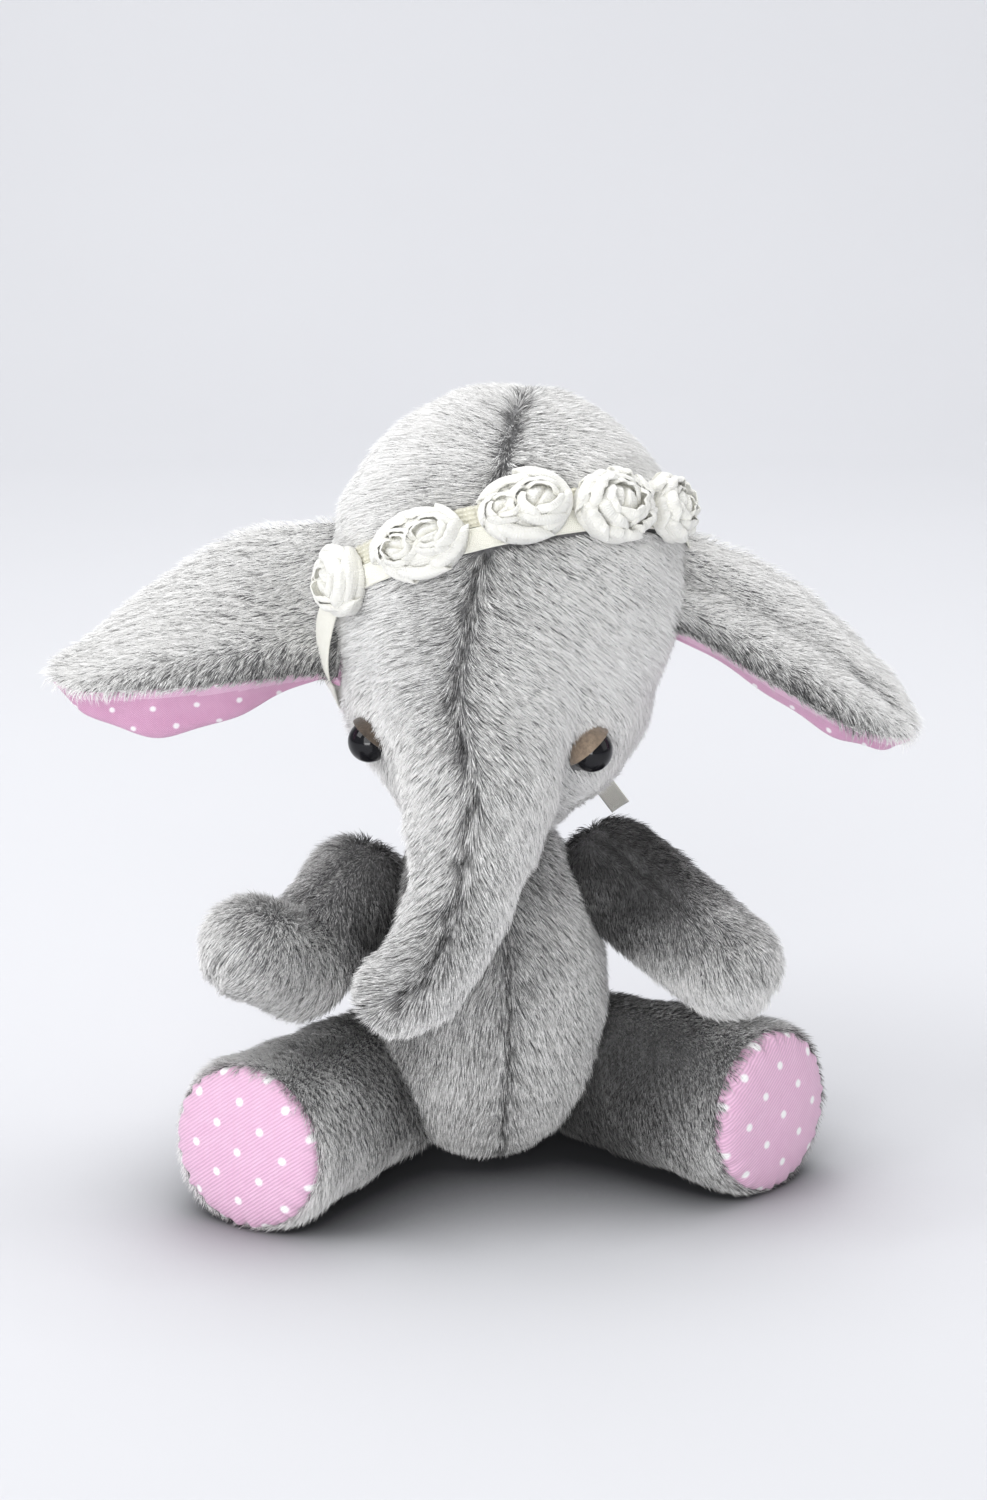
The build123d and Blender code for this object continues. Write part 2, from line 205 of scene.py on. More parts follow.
# ---- materials ----
def feed(tree, socket, value):
    """Links a node's output to a socket, or sets the socket to a plain value."""
    if hasattr(value, "is_output"):
        tree.links.new(value, socket)
    elif socket.type == "RGBA" and len(value) == 3:
        socket.default_value = (*value, 1.0)
    else:
        socket.default_value = value


class Nodes:
    """One material and short ways to add its nodes."""

    def __init__(self, name, roughness=0.8, **values):
        self.material = bpy.data.materials.new(name)
        self.material.use_nodes = True
        self.tree = self.material.node_tree
        self.shader = self.tree.nodes["Principled BSDF"]
        self.shader.inputs["Roughness"].default_value = roughness
        for key, value in values.items():
            self.shader.inputs[key.replace("_", " ")].default_value = value

    def node(self, kind, **settings):
        made = self.tree.nodes.new("ShaderNode" + kind)
        for key, value in settings.items():
            if key.startswith("in_"):
                feed(self.tree, made.inputs[key[3:].replace("_", " ")], value)
            else:
                setattr(made, key, value)
        return made

    def math(self, operation, a, b=0.0):
        made = self.node("Math", operation=operation)
        feed(self.tree, made.inputs[0], a)
        feed(self.tree, made.inputs[1], b)
        return made.outputs[0]

    def place(self):
        """The point on the object at rest."""
        return self.node("TexCoord").outputs["Object"]

    def weave(self):
        return self.node("Attribute", attribute_name="weave").outputs["Vector"]

    def noise(self, where, scale, detail=3.0, roughness=0.5):
        made = self.node("TexNoise", in_Vector=where, in_Scale=scale)
        made.inputs["Detail"].default_value = detail
        made.inputs["Roughness"].default_value = roughness
        return made.outputs["Fac"]

    def ramp(self, value, *stops):
        made = self.node("ValToRGB", in_Fac=value)
        elements = made.color_ramp.elements
        for i, (position, colour) in enumerate(stops):
            element = elements[i] if i < 2 else elements.new(position)
            element.position = position
            element.color = (*colour, 1.0)
        return made.outputs["Color"]

    def mix(self, factor, a, b, blend="MIX"):
        made = self.node("Mix", data_type="RGBA", blend_type=blend)
        for i, value in ((0, factor), (6, a), (7, b)):
            feed(self.tree, made.inputs[i], value)
        return made.outputs[2]

    def vector(self, operation, *values):
        made = self.node("VectorMath", operation=operation)
        for socket, value in zip(made.inputs, values):
            feed(self.tree, socket, value)
        return made.outputs["Value" if operation == "LENGTH" else "Vector"]

    def colour(self, source):
        self.tree.links.new(source, self.shader.inputs["Base Color"])

    def rough(self, source, low, high):
        spread = self.node("MapRange", in_Value=source, in_To_Min=low, in_To_Max=high)
        self.tree.links.new(spread.outputs[0], self.shader.inputs["Roughness"])

    def bump(self, height, strength, distance):
        made = self.node("Bump", in_Strength=strength, in_Distance=distance, in_Height=height)
        self.tree.links.new(made.outputs[0], self.shader.inputs["Normal"])


TWILL_SLANT = math.radians(52)
WAVE = 0.314  # a wave texture at this scale repeats once per unit of length


def plush_backing():
    m = Nodes("plush_backing", 0.95, Sheen_Weight=0.2)
    at = m.place()
    m.colour(m.ramp(m.noise(at, 900.0), (0.3, (0.10, 0.10, 0.102)), (0.7, (0.22, 0.22, 0.222))))
    m.bump(m.noise(at, 1600.0), 0.6, 0.0006)
    return m.material


def pile(name, tone, tint):
    """One tone of the pile. Each hair has two tones, and the hairs of a piece have seven."""
    m = Nodes(name, 0.62, Sheen_Weight=0.35, Sheen_Roughness=0.5, Specular_IOR_Level=0.25)
    m.shader.inputs["Base Color"].default_value = (tone * tint[0], tone * tint[1], tone * tint[2], 1.0)
    return m.material


def pin_dot(name, ground, shade, dot, spacing, radius, twill=0.42):
    """Cotton twill with small white dots, in millimetres of the cloth's own weave."""
    m = Nodes(name, 0.85, Sheen_Weight=0.25)
    where = m.weave()

    def lattice(offset):
        moved = m.vector("MULTIPLY_ADD", where, (1 / spacing, 1 / spacing, 0), (offset, offset, 0))
        return m.vector("LENGTH", m.vector("SUBTRACT", m.vector("FRACTION", moved), (0.5, 0.5, 0)))

    nearest = m.math("MINIMUM", lattice(0.0), lattice(0.5))
    ragged = m.math("ADD", nearest, m.math("MULTIPLY", m.noise(where, 2.5), 0.035))
    edge = m.node(
        "MapRange", interpolation_type="SMOOTHSTEP",
        in_Value=ragged, in_From_Min=radius / spacing + 0.04, in_From_Max=radius / spacing - 0.02,
    )
    slanted = m.node("Mapping", in_Vector=where, in_Rotation=(0, 0, TWILL_SLANT)).outputs[0]
    ribs = m.node("TexWave", in_Vector=slanted, in_Scale=WAVE / twill, in_Distortion=0.8, in_Detail=2.0)
    soft = m.noise(where, 0.25, 2.0)
    base = m.mix(soft, ground, shade)
    thread = m.mix(m.math("MULTIPLY", ribs.outputs["Fac"], 0.5), base, tuple(c * 0.62 for c in ground))
    m.colour(m.mix(edge.outputs[0], thread, dot))
    m.rough(m.noise(where, 6.0), 0.75, 0.95)
    m.bump(m.math("ADD", ribs.outputs["Fac"], m.math("MULTIPLY", m.noise(where, 4.0), 0.7)), 0.55, 0.0002)
    return m.material


def woven(name, light, dark, pitch=0.45, sheen=0.4, bump=0.6, across=1.0, glow=0.1):
    """A fine plain weave in the cloth's own coordinates."""
    m = Nodes(name, 0.6, Sheen_Weight=sheen, Subsurface_Weight=glow, Subsurface_Scale=0.003)
    m.shader.inputs["Subsurface Radius"].default_value = (1.0, 1.0, 0.9)
    where = m.weave()
    waves = []
    for way, size in (("X", pitch), ("Y", pitch * across)):
        bands = m.node("TexWave", bands_direction=way, in_Vector=where, in_Scale=WAVE / size)
        bands.inputs["Distortion"].default_value = 0.5
        waves.append(bands.outputs["Fac"])
    cloth = m.math("MULTIPLY", waves[0], waves[1])
    worn = m.noise(where, 0.5, 3.0)
    shade = m.math("ADD", m.math("MULTIPLY", cloth, 0.5), m.math("MULTIPLY", worn, 0.5))
    m.colour(m.mix(shade, dark, light))
    m.rough(worn, 0.5, 0.75)
    m.bump(cloth, bump, 0.0002)
    return m.material


def black_glass():
    m = Nodes("eye_glass", 0.08, Specular_IOR_Level=0.35)
    at = m.place()
    m.colour(m.ramp(m.noise(at, 260.0), (0.3, (0.004, 0.004, 0.006)), (0.8, (0.012, 0.012, 0.014))))
    m.rough(m.noise(at, 900.0), 0.03, 0.1)
    return m.material


def suede(name, light, dark):
    m = Nodes(name, 0.92, Sheen_Weight=0.4)
    at = m.place()
    m.colour(m.ramp(m.noise(at, 700.0, 6.0, 0.7), (0.32, dark), (0.7, light)))
    m.bump(m.noise(at, 2400.0, 5.0), 0.7, 0.0004)
    m.rough(m.noise(at, 500.0), 0.85, 1.0)
    return m.material


def grainy(name, light, dark, roughness, scale, metallic=0.0):
    m = Nodes(name, roughness, Metallic=metallic)
    at = m.place()
    m.colour(m.ramp(m.noise(at, scale), (0.3, dark), (0.7, light)))
    m.rough(m.noise(at, scale * 1.7), roughness * 0.8, min(1.0, roughness * 1.25))
    m.bump(m.noise(at, scale * 3), 0.3, 0.0002)
    return m.material


BACKING = plush_backing()
TONES = (0.03, 0.09, 0.20, 0.37, 0.55, 0.74, 0.92)
PILE = [pile(f"pile_{i}", tone, (1.0, 0.995, 0.985)) for i, tone in enumerate(TONES)]
# The ear lining is one pin-dot cotton in two copies: a darker copy with painted shade for the inside of the
# ear, and a lighter copy with painted light for the rim where it wraps round.
SHADED_LINING = pin_dot("lining_cotton_painted_shade", (0.66, 0.33, 0.52), (0.78, 0.44, 0.64), (0.95, 0.90, 0.94), 11.0, 0.85)
LIT_RIM_COTTON = pin_dot("rim_cotton_painted_light", (0.78, 0.47, 0.66), (0.86, 0.57, 0.74), (0.97, 0.93, 0.96), 11.0, 0.85)
FOOT_COTTON = pin_dot(
    "foot_cotton", (0.80, 0.47, 0.67), (0.90, 0.60, 0.78), (0.98, 0.96, 0.97), 12.7, 1.1, 0.82
)
RIBBON = woven("ribbon_cloth", (0.96, 0.95, 0.87), (0.84, 0.83, 0.73))
ORGANZA = woven(
    "rose_organza", (1.0, 0.995, 0.95), (0.92, 0.91, 0.83), pitch=0.8, sheen=0.5, bump=0.6, glow=0.3
)
NET = woven("band_net", (0.90, 0.88, 0.76), (0.55, 0.53, 0.42), pitch=1.0, across=0.6, bump=1.0)
GLASS = black_glass()
LID = {
    "left": suede("lid_dark_suede", (0.13, 0.095, 0.07), (0.04, 0.03, 0.022)),
    "right": suede("lid_tan_suede", (0.38, 0.29, 0.21), (0.19, 0.14, 0.10)),
}


# ---- stuffed skins ----
SEAM_SINK = 0.22
SEAM_WIDTH = 0.9


def round_ball():
    """The points and faces of a ball of radius 1."""
    bm = bmesh.new()
    bmesh.ops.create_icosphere(bm, subdivisions=4, radius=1.0)
    co = np.array([v.co[:] for v in bm.verts])
    faces = [[v.index for v in f.verts] for f in bm.faces]
    bm.free()
    return units(co), faces


BALL, BALL_FACES = round_ball()


def ball(centre, radius):
    return BALL * radius + np.array(centre)


def past_plane(co, point, normal, give=0.0):
    """Points beyond a plane are brought back to it."""
    normal = unit(normal)
    out = (co - np.array(point)) @ normal - give
    return co - np.maximum(out, 0)[:, None] * normal


def skin_of(name, bodies, voxel, rounds, materials):
    """One closed skin around several convex forms, with soft creases between them."""
    bm = bmesh.new()
    for co in bodies:
        part = bmesh.new()
        for p in co:
            part.verts.new(p * MM)
        bmesh.ops.convex_hull(part, input=part.verts)
        loose = [v for v in part.verts if not v.link_faces]
        bmesh.ops.delete(part, geom=loose, context="VERTS")
        mesh = bpy.data.meshes.new("part")
        part.to_mesh(mesh)
        part.free()
        bm.from_mesh(mesh)
        bpy.data.meshes.remove(mesh)
    mesh = bpy.data.meshes.new(name)
    bm.to_mesh(mesh)
    bm.free()
    for material in materials:
        mesh.materials.append(material)
    thing = bpy.data.objects.new(name, mesh)
    scene.collection.objects.link(thing)
    remesh = thing.modifiers.new("voxel", "REMESH")
    remesh.mode = "VOXEL"
    remesh.voxel_size = voxel * MM
    remesh.use_smooth_shade = True
    softened = thing.modifiers.new("soft", "SMOOTH")
    softened.factor = 0.5
    softened.iterations = rounds
    return baked_down(thing)


def normals_of(thing):
    no = np.empty(len(thing.data.vertices) * 3)
    thing.data.vertices.foreach_get("normal", no)
    return no.reshape(-1, 3)


# ---- pile ----
HAIRS_PER_PIECE = 60000
FLECKED = 0.10
LEAST_LENGTH = 1.5


def scatter(thing, per_mm2, rng):
    """Even random points on a mesh, with their normals, in millimetres."""
    mesh = thing.data
    mesh.calc_loop_triangles()
    tri = np.empty(len(mesh.loop_triangles) * 3, np.int64)
    mesh.loop_triangles.foreach_get("vertices", tri)
    tri = tri.reshape(-1, 3)
    co, no = points_of(thing), normals_of(thing)
    a, b, c = co[tri[:, 0]], co[tri[:, 1]], co[tri[:, 2]]
    area = np.linalg.norm(np.cross(b - a, c - a), axis=1) / 2
    total = np.cumsum(area)
    count = int(total[-1] * per_mm2)
    pick = np.minimum(np.searchsorted(total, rng.uniform(0, total[-1], count)), len(tri) - 1)
    r, s = np.sqrt(rng.uniform(size=(count, 1))), rng.uniform(size=(count, 1))
    w = (1 - r, r * (1 - s), r * s)
    p = w[0] * a[pick] + w[1] * b[pick] + w[2] * c[pick]
    t = tri[pick]
    return p, units(w[0] * no[t[:, 0]] + w[1] * no[t[:, 1]] + w[2] * no[t[:, 2]])


def grow(
    name, body, thing, nap, tone, keep,
    length=4.4, per_mm2=7.6, width=0.175, lean=1.35, mottle=0.04, seed=1, floor=0.25,
):
    """Hair over a skin. nap gives the way it lies, tone how light it is, keep where it grows."""
    rng = np.random.default_rng(seed)
    p, n = scatter(thing, per_mm2, rng)
    grows = keep(p, n)
    p, n = p[grows], n[grows]
    lie = nap(p, n)
    lie = units(lie - (lie * n).sum(1, keepdims=True) * n)
    clump = wobble(p, 0.8, seed + 11) * 0.15 + wobble(p, 6.0, seed + 12) * 0.14
    way = units(n + lean * lie + clump + rng.normal(scale=0.13, size=p.shape))
    below = (way * n).sum(1, keepdims=True)
    way = units(way + np.maximum(0.25 - below, 0) * n)
    size = length * rng.uniform(0.62, 1.12, (len(p), 1)) * (1 + 0.10 * wobble(p, 3.0, seed + 13)[:, :1])
    size = np.maximum(size, LEAST_LENGTH)
    droop = units(way + 0.55 * lie - 0.10 * np.array([0, 0, 1.0]))
    mid = p + way * size * 0.58
    tip = mid + droop * size * 0.42
    side = units(np.cross(way, rng.normal(size=p.shape)))
    half = width * rng.uniform(0.7, 1.25, (len(p), 1)) / 2
    root = p - n * 0.35
    thin = side * half * 0.85
    co = np.stack([root - side * half, root + side * half, mid + thin, mid - thin, tip], 1)
    co[:, :, 2] = np.maximum(co[:, :, 2], floor)
    light = tone(p, n) + rng.normal(scale=0.07, size=len(p))
    light = light + 0.03 * wobble(p, 2.2, seed + 14)[:, 0] + mottle * wobble(p, 6.0, seed + 16)[:, 0]
    fleck = rng.uniform(size=len(p)) < FLECKED + FLECKED * step(wobble(p, 1.6, seed + 15)[:, 0], 0.4, 1.6)
    light = light - fleck * rng.uniform(0.2, 0.55, len(p))
    top = len(PILE) - 1
    tips = np.clip(np.round((0.08 + 0.92 * light) * top + 0.5), 0, top).astype(int)
    roots = np.clip(np.round(light * top - 1.5), 0, top).astype(int)
    order = rng.permutation(len(p))
    pieces = max(1, math.ceil(len(p) / HAIRS_PER_PIECE))
    for number, chosen in enumerate(np.array_split(order, pieces), start=1):
        count = len(chosen)
        mesh = bpy.data.meshes.new(f"{name}_pile_{number}")
        mesh.vertices.add(count * 5)
        mesh.vertices.foreach_set("co", (co[chosen] * MM).astype(np.float32).ravel())
        base = np.arange(count)[:, None] * 5
        loops = (base + np.array([[0, 1, 2, 3, 3, 2, 4]])).ravel()
        mesh.loops.add(len(loops))
        mesh.loops.foreach_set("vertex_index", loops.astype(np.int32))
        mesh.polygons.add(count * 2)
        starts = (np.arange(count)[:, None] * 7 + np.array([[0, 4]])).ravel()
        mesh.polygons.foreach_set("loop_start", starts.astype(np.int32))
        for material in PILE:
            mesh.materials.append(material)
        index = np.stack([roots[chosen], tips[chosen]], 1).ravel()
        mesh.polygons.foreach_set("material_index", index.astype(np.int32))
        mesh.update(calc_edges=True)
        made = bpy.data.objects.new(mesh.name, mesh)
        scene.collection.objects.link(made)
        join(made, body, "plush")


# ---- the frame's own numbers ----
BODY_PROFILE = [
    (14.5, 5.5), (21.5, 13.0), (27.0, 26.0), (29.5, 42.0), (28.0, 57.0), (24.0, 70.0), (18.5, 80.0),
]
BODY_SEAT_R = 6.5
BODY_TOP = (12.0, 87.0)
BODY_SEAM = np.array((2.0, 0.0, 0.0))
BODY_ACROSS = np.array((math.cos(math.radians(7.0)), math.sin(math.radians(7.0)), 0.0))
CRANIUM = np.array((5.0, 2.0, 150.0))
CRANIUM_R = 43.0
CRANIUM_HALF_HEIGHT = 47.5
HEAD_YAW = math.radians(-9.0)
HEAD_ROLL = math.radians(8.7)
CHEEKS = ((3.0, 1.0, 127.0), 38.0)
JAW = ((1.0, -2.0, 114.5), 29.0)
TRUNK = [
    ((-0.5, -16.0, 142.0), 29.0),
    ((-1.0, -32.0, 123.0), 20.0),
    ((-1.5, -41.0, 108.5), 17.2),
    ((-3.0, -46.0, 96.5), 13.6),
    ((-5.5, -48.5, 84.5), 11.3),
    ((-10.0, -49.5, 72.5), 10.3),
    ((-16.0, -48.5, 63.0), 10.2),
    ((-20.5, -47.5, 59.0), 9.8),
]
NECK_Z = 87.0
JOINT_GAP = 0.5
EYE_R = 5.3
EYES = {
    "left": ((-28.1, -16.3, 113.8), (-0.82, -0.54, -0.18)),
    "right": ((25.4, -26.9, 114.5), (0.64, -0.75, -0.18)),
}
ARMS = {
    "left": [((-33.0, -3.0, 70.0), 12.6), ((-46.0, -26.0, 59.0), 12.0), ((-57.0, -43.0, 68.5), 11.6)],
    "right": [((32.5, 3.0, 73.0), 12.8), ((60.5, -19.5, 56.5), 12.2)],
}
LEGS = {
    "left": [((-30.0, -5.0, 17.8), 18.0), ((-58.0, -52.0, 20.4), 20.6)],
    "right": [((31.0, 8.5, 17.8), 18.0), ((71.0, -28.0, 20.4), 20.6)],
}
PAD_CROWN = 4.0
DISC_CLEAR = 3.0
EYE_CLEAR = 6.2
JOINTS = {
    "shoulder_left": ((-23.0, -1.6, 66.4), (-0.93, -0.05, 0.37), 6.0),
    "shoulder_right": ((22.4, 1.8, 68.2), (0.93, 0.07, 0.37), 6.0),
    "hip_left": ((-21.2, -2.8, 21.4), (-0.932, -0.12, -0.34), 9.0),
    "hip_right": ((20.6, 5.8, 21.4), (0.905, 0.25, -0.34), 9.0),
}
BAND_WIDTH = 5.5
NET_WIDTH = 5.5
RIBBON_THICK = 0.45
STREAMER_THICK = 0.4
PETAL_THICK = 0.22
LID_THICK = 0.95
BAND_NORMAL = unit((-0.205, 0.412, 0.8875))
BAND_POINT = np.array((8.0, -36.5, 171.0))
KNOT_WAY = unit((0.18, 0.62, -0.72))
KNOT_R = 4.0
ROSES = [
    ((-34.0, -22.0, 155.6), 9.2, 8.0),
    ((-14.5, -36.0, 167.7), 10.5, 8.5),
    ((9.5, -38.0, 177.1), 10.8, 8.5),
    ((31.6, -32.0, 177.0), 10.5, 8.5),
    ((46.0, -16.0, 172.8), 9.2, 8.0),
]
EARS = {
    "left": [
        ((-40.5, 5.0, 164.0), (-44.5, -13.0, 130.0), 2.5, 1.5),
        ((-60.3, 10.0, 160.0), (-61.1, -23.0, 130.5), 3.5, 9.0),
        ((-79.6, 11.0, 149.0), (-81.0, -24.0, 129.0), 3.5, 13.0),
        ((-97.1, 6.0, 135.5), (-98.5, -17.0, 126.5), 2.5, 6.0),
        ((-107.5, -3.0, 130.0), (-107.5, -9.0, 127.5), 1.0, 0.8),
    ],
    "right": [
        ((49.3, 7.0, 161.0), (50.5, -12.0, 139.5), 2.5, 3.0),
        ((67.9, 12.0, 152.0), (68.4, -21.0, 131.0), 3.5, 4.5),
        ((86.1, 13.0, 138.5), (85.0, -22.0, 121.5), 3.5, 6.0),
        ((101.0, 8.0, 125.0), (97.7, -14.0, 114.5), 2.5, 4.0),
        ((108.0, 0.0, 114.5), (106.0, -6.0, 111.5), 1.0, 0.8),
    ],
}


def turned(yaw, roll):
    """The head's own axes, as columns."""
    z = np.array([[math.cos(yaw), -math.sin(yaw), 0], [math.sin(yaw), math.cos(yaw), 0], [0, 0, 1]])
    y = np.array([[math.cos(roll), 0, math.sin(roll)], [0, 1, 0], [-math.sin(roll), 0, math.cos(roll)]])
    return z @ y


HEAD_AXES = turned(HEAD_YAW, HEAD_ROLL)
HEAD_ACROSS = HEAD_AXES[:, 0]
HEAD_UP = HEAD_AXES[:, 2]


def skull_reach(start, way):
    """How far a line from inside the head runs before it leaves the cloth."""
    start, way = np.array(start, float), unit(way)
    scale = np.array((CRANIUM_R, CRANIUM_R, CRANIUM_HALF_HEIGHT))
    o = (HEAD_AXES.T @ (start - CRANIUM)) / scale
    d = (HEAD_AXES.T @ way) / scale
    found = []
    balls = [(start - np.array(middle), r) for middle, r in (CHEEKS, JAW)]
    for a, b, c in [(d @ d, o @ d, o @ o - 1)] + [(1.0, out @ way, out @ out - r * r) for out, r in balls]:
        room = b * b - a * c
        if room > 0:
            found.append((-b + math.sqrt(room)) / a)
    return max(found)


def on_head(way, lift):
    return CRANIUM + unit(way) * (skull_reach(CRANIUM, way) + lift)


# ---- head ----
def trunk_place(p):
    """Each point's nearest place along the trunk's middle line: its share, offset and line direction."""
    line = smooth_line([c for c, r in TRUNK], 60)
    way = units(np.gradient(line, axis=0))
    found = np.empty(len(p), int)
    for start in range(0, len(p), 20000):
        part = p[start : start + 20000]
        found[start : start + 20000] = ((part[:, None, :] - line[None]) ** 2).sum(2).argmin(1)
    return found / 59, p - line[found], way[found]


egg = CRANIUM + (BALL * (CRANIUM_R, CRANIUM_R, CRANIUM_HALF_HEIGHT)) @ HEAD_AXES.T
lumps = [egg] + [ball(centre, radius) for centre, radius in (CHEEKS, JAW)]
skull = [past_plane(lump, (0, 0, NECK_Z + JOINT_GAP), (0, 0, -1)) for lump in lumps]
trunk = [np.vstack([ball(p, r), ball(q, s)]) for (p, r), (q, s) in zip(TRUNK, TRUNK[1:])]
head_skin = skin_of("head_skin", skull + trunk, 1.3, 24, [BACKING])


def seam_gap(p):
    """How far each point of the head is from its middle seam, which follows the trunk down."""
    share, offset, way = trunk_place(p)
    across = units(HEAD_ACROSS - (way @ HEAD_ACROSS)[:, None] * way)
    on_trunk = (offset * across).sum(1)
    on_skull = (p - np.array((3.0, 2.0, 150.0))) @ HEAD_ACROSS
    use = step(p[:, 2], 138.0, 112.0) * (p[:, 1] < -8)
    return on_trunk * use + on_skull * (1 - use), use, way, across


co = points_of(head_skin)
no = normals_of(head_skin)
gap, use, way, across = seam_gap(co)
co = co - no * (SEAM_SINK * hump(gap, SEAM_WIDTH))[:, None]
for side, (at, normal) in EYES.items():
    out = co - np.array(at)
    co = co - no * (1.2 * np.exp(-((out**2).sum(1) / 45.0)))[:, None]
set_points(head_skin, co)
join(head_skin, "head", "plush", "head_panel_left", "head_panel_right", "head_stuffing", fill=0.9)


def head_nap(p, n):
    gap, use, way, across = seam_gap(p)
    away = np.sign(gap)[:, None] * (HEAD_ACROSS * (1 - use[:, None]) + across * use[:, None])
    fade = np.exp(-np.abs(gap) / 14.0)[:, None]
    down = np.array((0, 0.15, -0.45)) * (1 - use[:, None]) + way * 0.9 * use[:, None]
    return away * (0.75 - 0.1 * fade) * step(np.abs(gap), 0.2, 3.2)[:, None] + down


def head_tone(p, n):
    gap = seam_gap(p)[0]
    ragged = gap + 0.5 * wobble(p, 1.6, 5)[:, 0]
    on_line = step(trunk_place(p)[0], 1.0, 0.94)
    light = 1.0 - 0.66 * hump(ragged, 0.7) * on_line - 0.14 * hump(gap, 6.0)
    # Painted light: the hair over the top of the head, above z = 165, is lighter.
    light = light + 0.24 * step(np.abs(gap), 8, 34) + 0.16 * step(p[:, 2], 165, 190)
    light = light + 0.08 * step(gap, 0, 20)
    return light + 0.03 - 0.14 * step(p[:, 2], 95, 70)


def head_keep(p, n):
    keep = ~((p[:, 2] < NECK_Z + JOINT_GAP + 1.2) & (p[:, 1] > -30) & (n[:, 2] < -0.8))
    for side, (at, normal) in EYES.items():
        keep &= ((p - np.array(at)) ** 2).sum(1) > EYE_CLEAR**2
    half = BAND_WIDTH / 2
    height = (p - BAND_POINT) @ BAND_NORMAL
    under_band = (height > -half + 0.3) & (height < half + 5.0) & (p[:, 1] < -9)
    return keep & ~(under_band & (np.abs((p - CRANIUM) @ HEAD_ACROSS) < 50))


grow("head", "head", head_skin, head_nap, head_tone, head_keep, seed=21)


# ---- body ----
outline = smooth_line([(0.01, 0.0), (BODY_SEAT_R, 0.0)] + BODY_PROFILE + [BODY_TOP, (0.01, 87.0)], 90)
outline[:, 0] = np.maximum(outline[:, 0], 0.01)
outline[:, 1] = np.clip(outline[:, 1], 0, NECK_Z)
around = np.linspace(0, 2 * np.pi, 96, endpoint=False)
profile, height = outline[:, :1], outline[:, 1:]
egg = np.stack([profile * np.cos(around), profile * np.sin(around), height + 0 * around], 2).reshape(-1, 3)
for at, axis, disc in JOINTS.values():
    egg = past_plane(egg, at, axis)
body_skin = skin_of("body_skin", [egg], 1.3, 8, [BACKING])
co, no = points_of(body_skin), normals_of(body_skin)
gap = (co - BODY_SEAM) @ BODY_ACROSS
co = co - no * (SEAM_SINK * hump(gap, SEAM_WIDTH) * (co[:, 2] > 3))[:, None]
set_points(body_skin, co)
join(body_skin, "torso", "plush", "body_panel_left", "body_panel_right", "body_stuffing", fill=0.9)


def body_nap(p, n):
    gap = ((p - BODY_SEAM) @ BODY_ACROSS)[:, None]
    fade = np.exp(-np.abs(gap) / 9.0)
    aside = np.sign(gap) * BODY_ACROSS * (0.1 + 0.35 * fade) * step(np.abs(gap), 0.2, 3.0)
    return np.array((0, 0, -1.0)) + aside


def body_tone(p, n):
    gap = (p - BODY_SEAM) @ BODY_ACROSS
    ragged = gap + 0.5 * wobble(p, 1.6, 6)[:, 0]
    light = 0.94 - 0.62 * hump(ragged, 0.65) - 0.12 * hump(gap, 9.0)
    # Painted shadow of the trunk: the belly's left side, past x = -8, is darker.
    light = light + 0.05 * step(p[:, 0], -5, 15) - 0.26 * step(p[:, 0], -8, -20)
    # Painted shade under the head: the top of the body, above z = 66, is darker.
    return light - 0.12 * step(p[:, 2], 66, 84)


def away_from_discs(p, names):
    keep = np.ones(len(p), bool)
    for name in names:
        at, axis, disc = JOINTS[name]
        axis = unit(axis)
        out = p - np.array(at)
        high = out @ axis
        flat = np.linalg.norm(out - high[:, None] * axis, axis=1)
        keep &= ~((np.abs(high) < 1.8) & (flat < disc + DISC_CLEAR))
    return keep


def body_keep(p, n):
    keep = away_from_discs(p, JOINTS)
    return keep & ~((p[:, 2] > NECK_Z - 1.5) & (n[:, 2] > 0.8)) & ~((p[:, 2] < 1.0) & (n[:, 2] < -0.8))


grow("body", "torso", body_skin, body_nap, body_tone, body_keep, seed=41)


# ---- tail ----
TAIL = ((-2.2, 28.6, 27.0), 3.4), ((-3.4, 41.5, 14.0), 2.4)
(tail_root, root_r), (tail_tip, tip_r) = TAIL
tail_form = np.vstack([ball(tail_root, root_r), ball(tail_tip, tip_r)])
tail_skin = skin_of("tail_skin", [tail_form], 0.8, 4, [BACKING])
join(tail_skin, "torso", "plush", "tail", fill=0.8)
tail_way = unit(np.subtract(tail_tip, tail_root))
grow(
    "tail", "torso", tail_skin,
    lambda p, n: np.tile(tail_way, (len(p), 1)),
    lambda p, n: np.full(len(p), 0.72),
    lambda p, n: p[:, 1] > 27,
    length=5.0, seed=47,
)


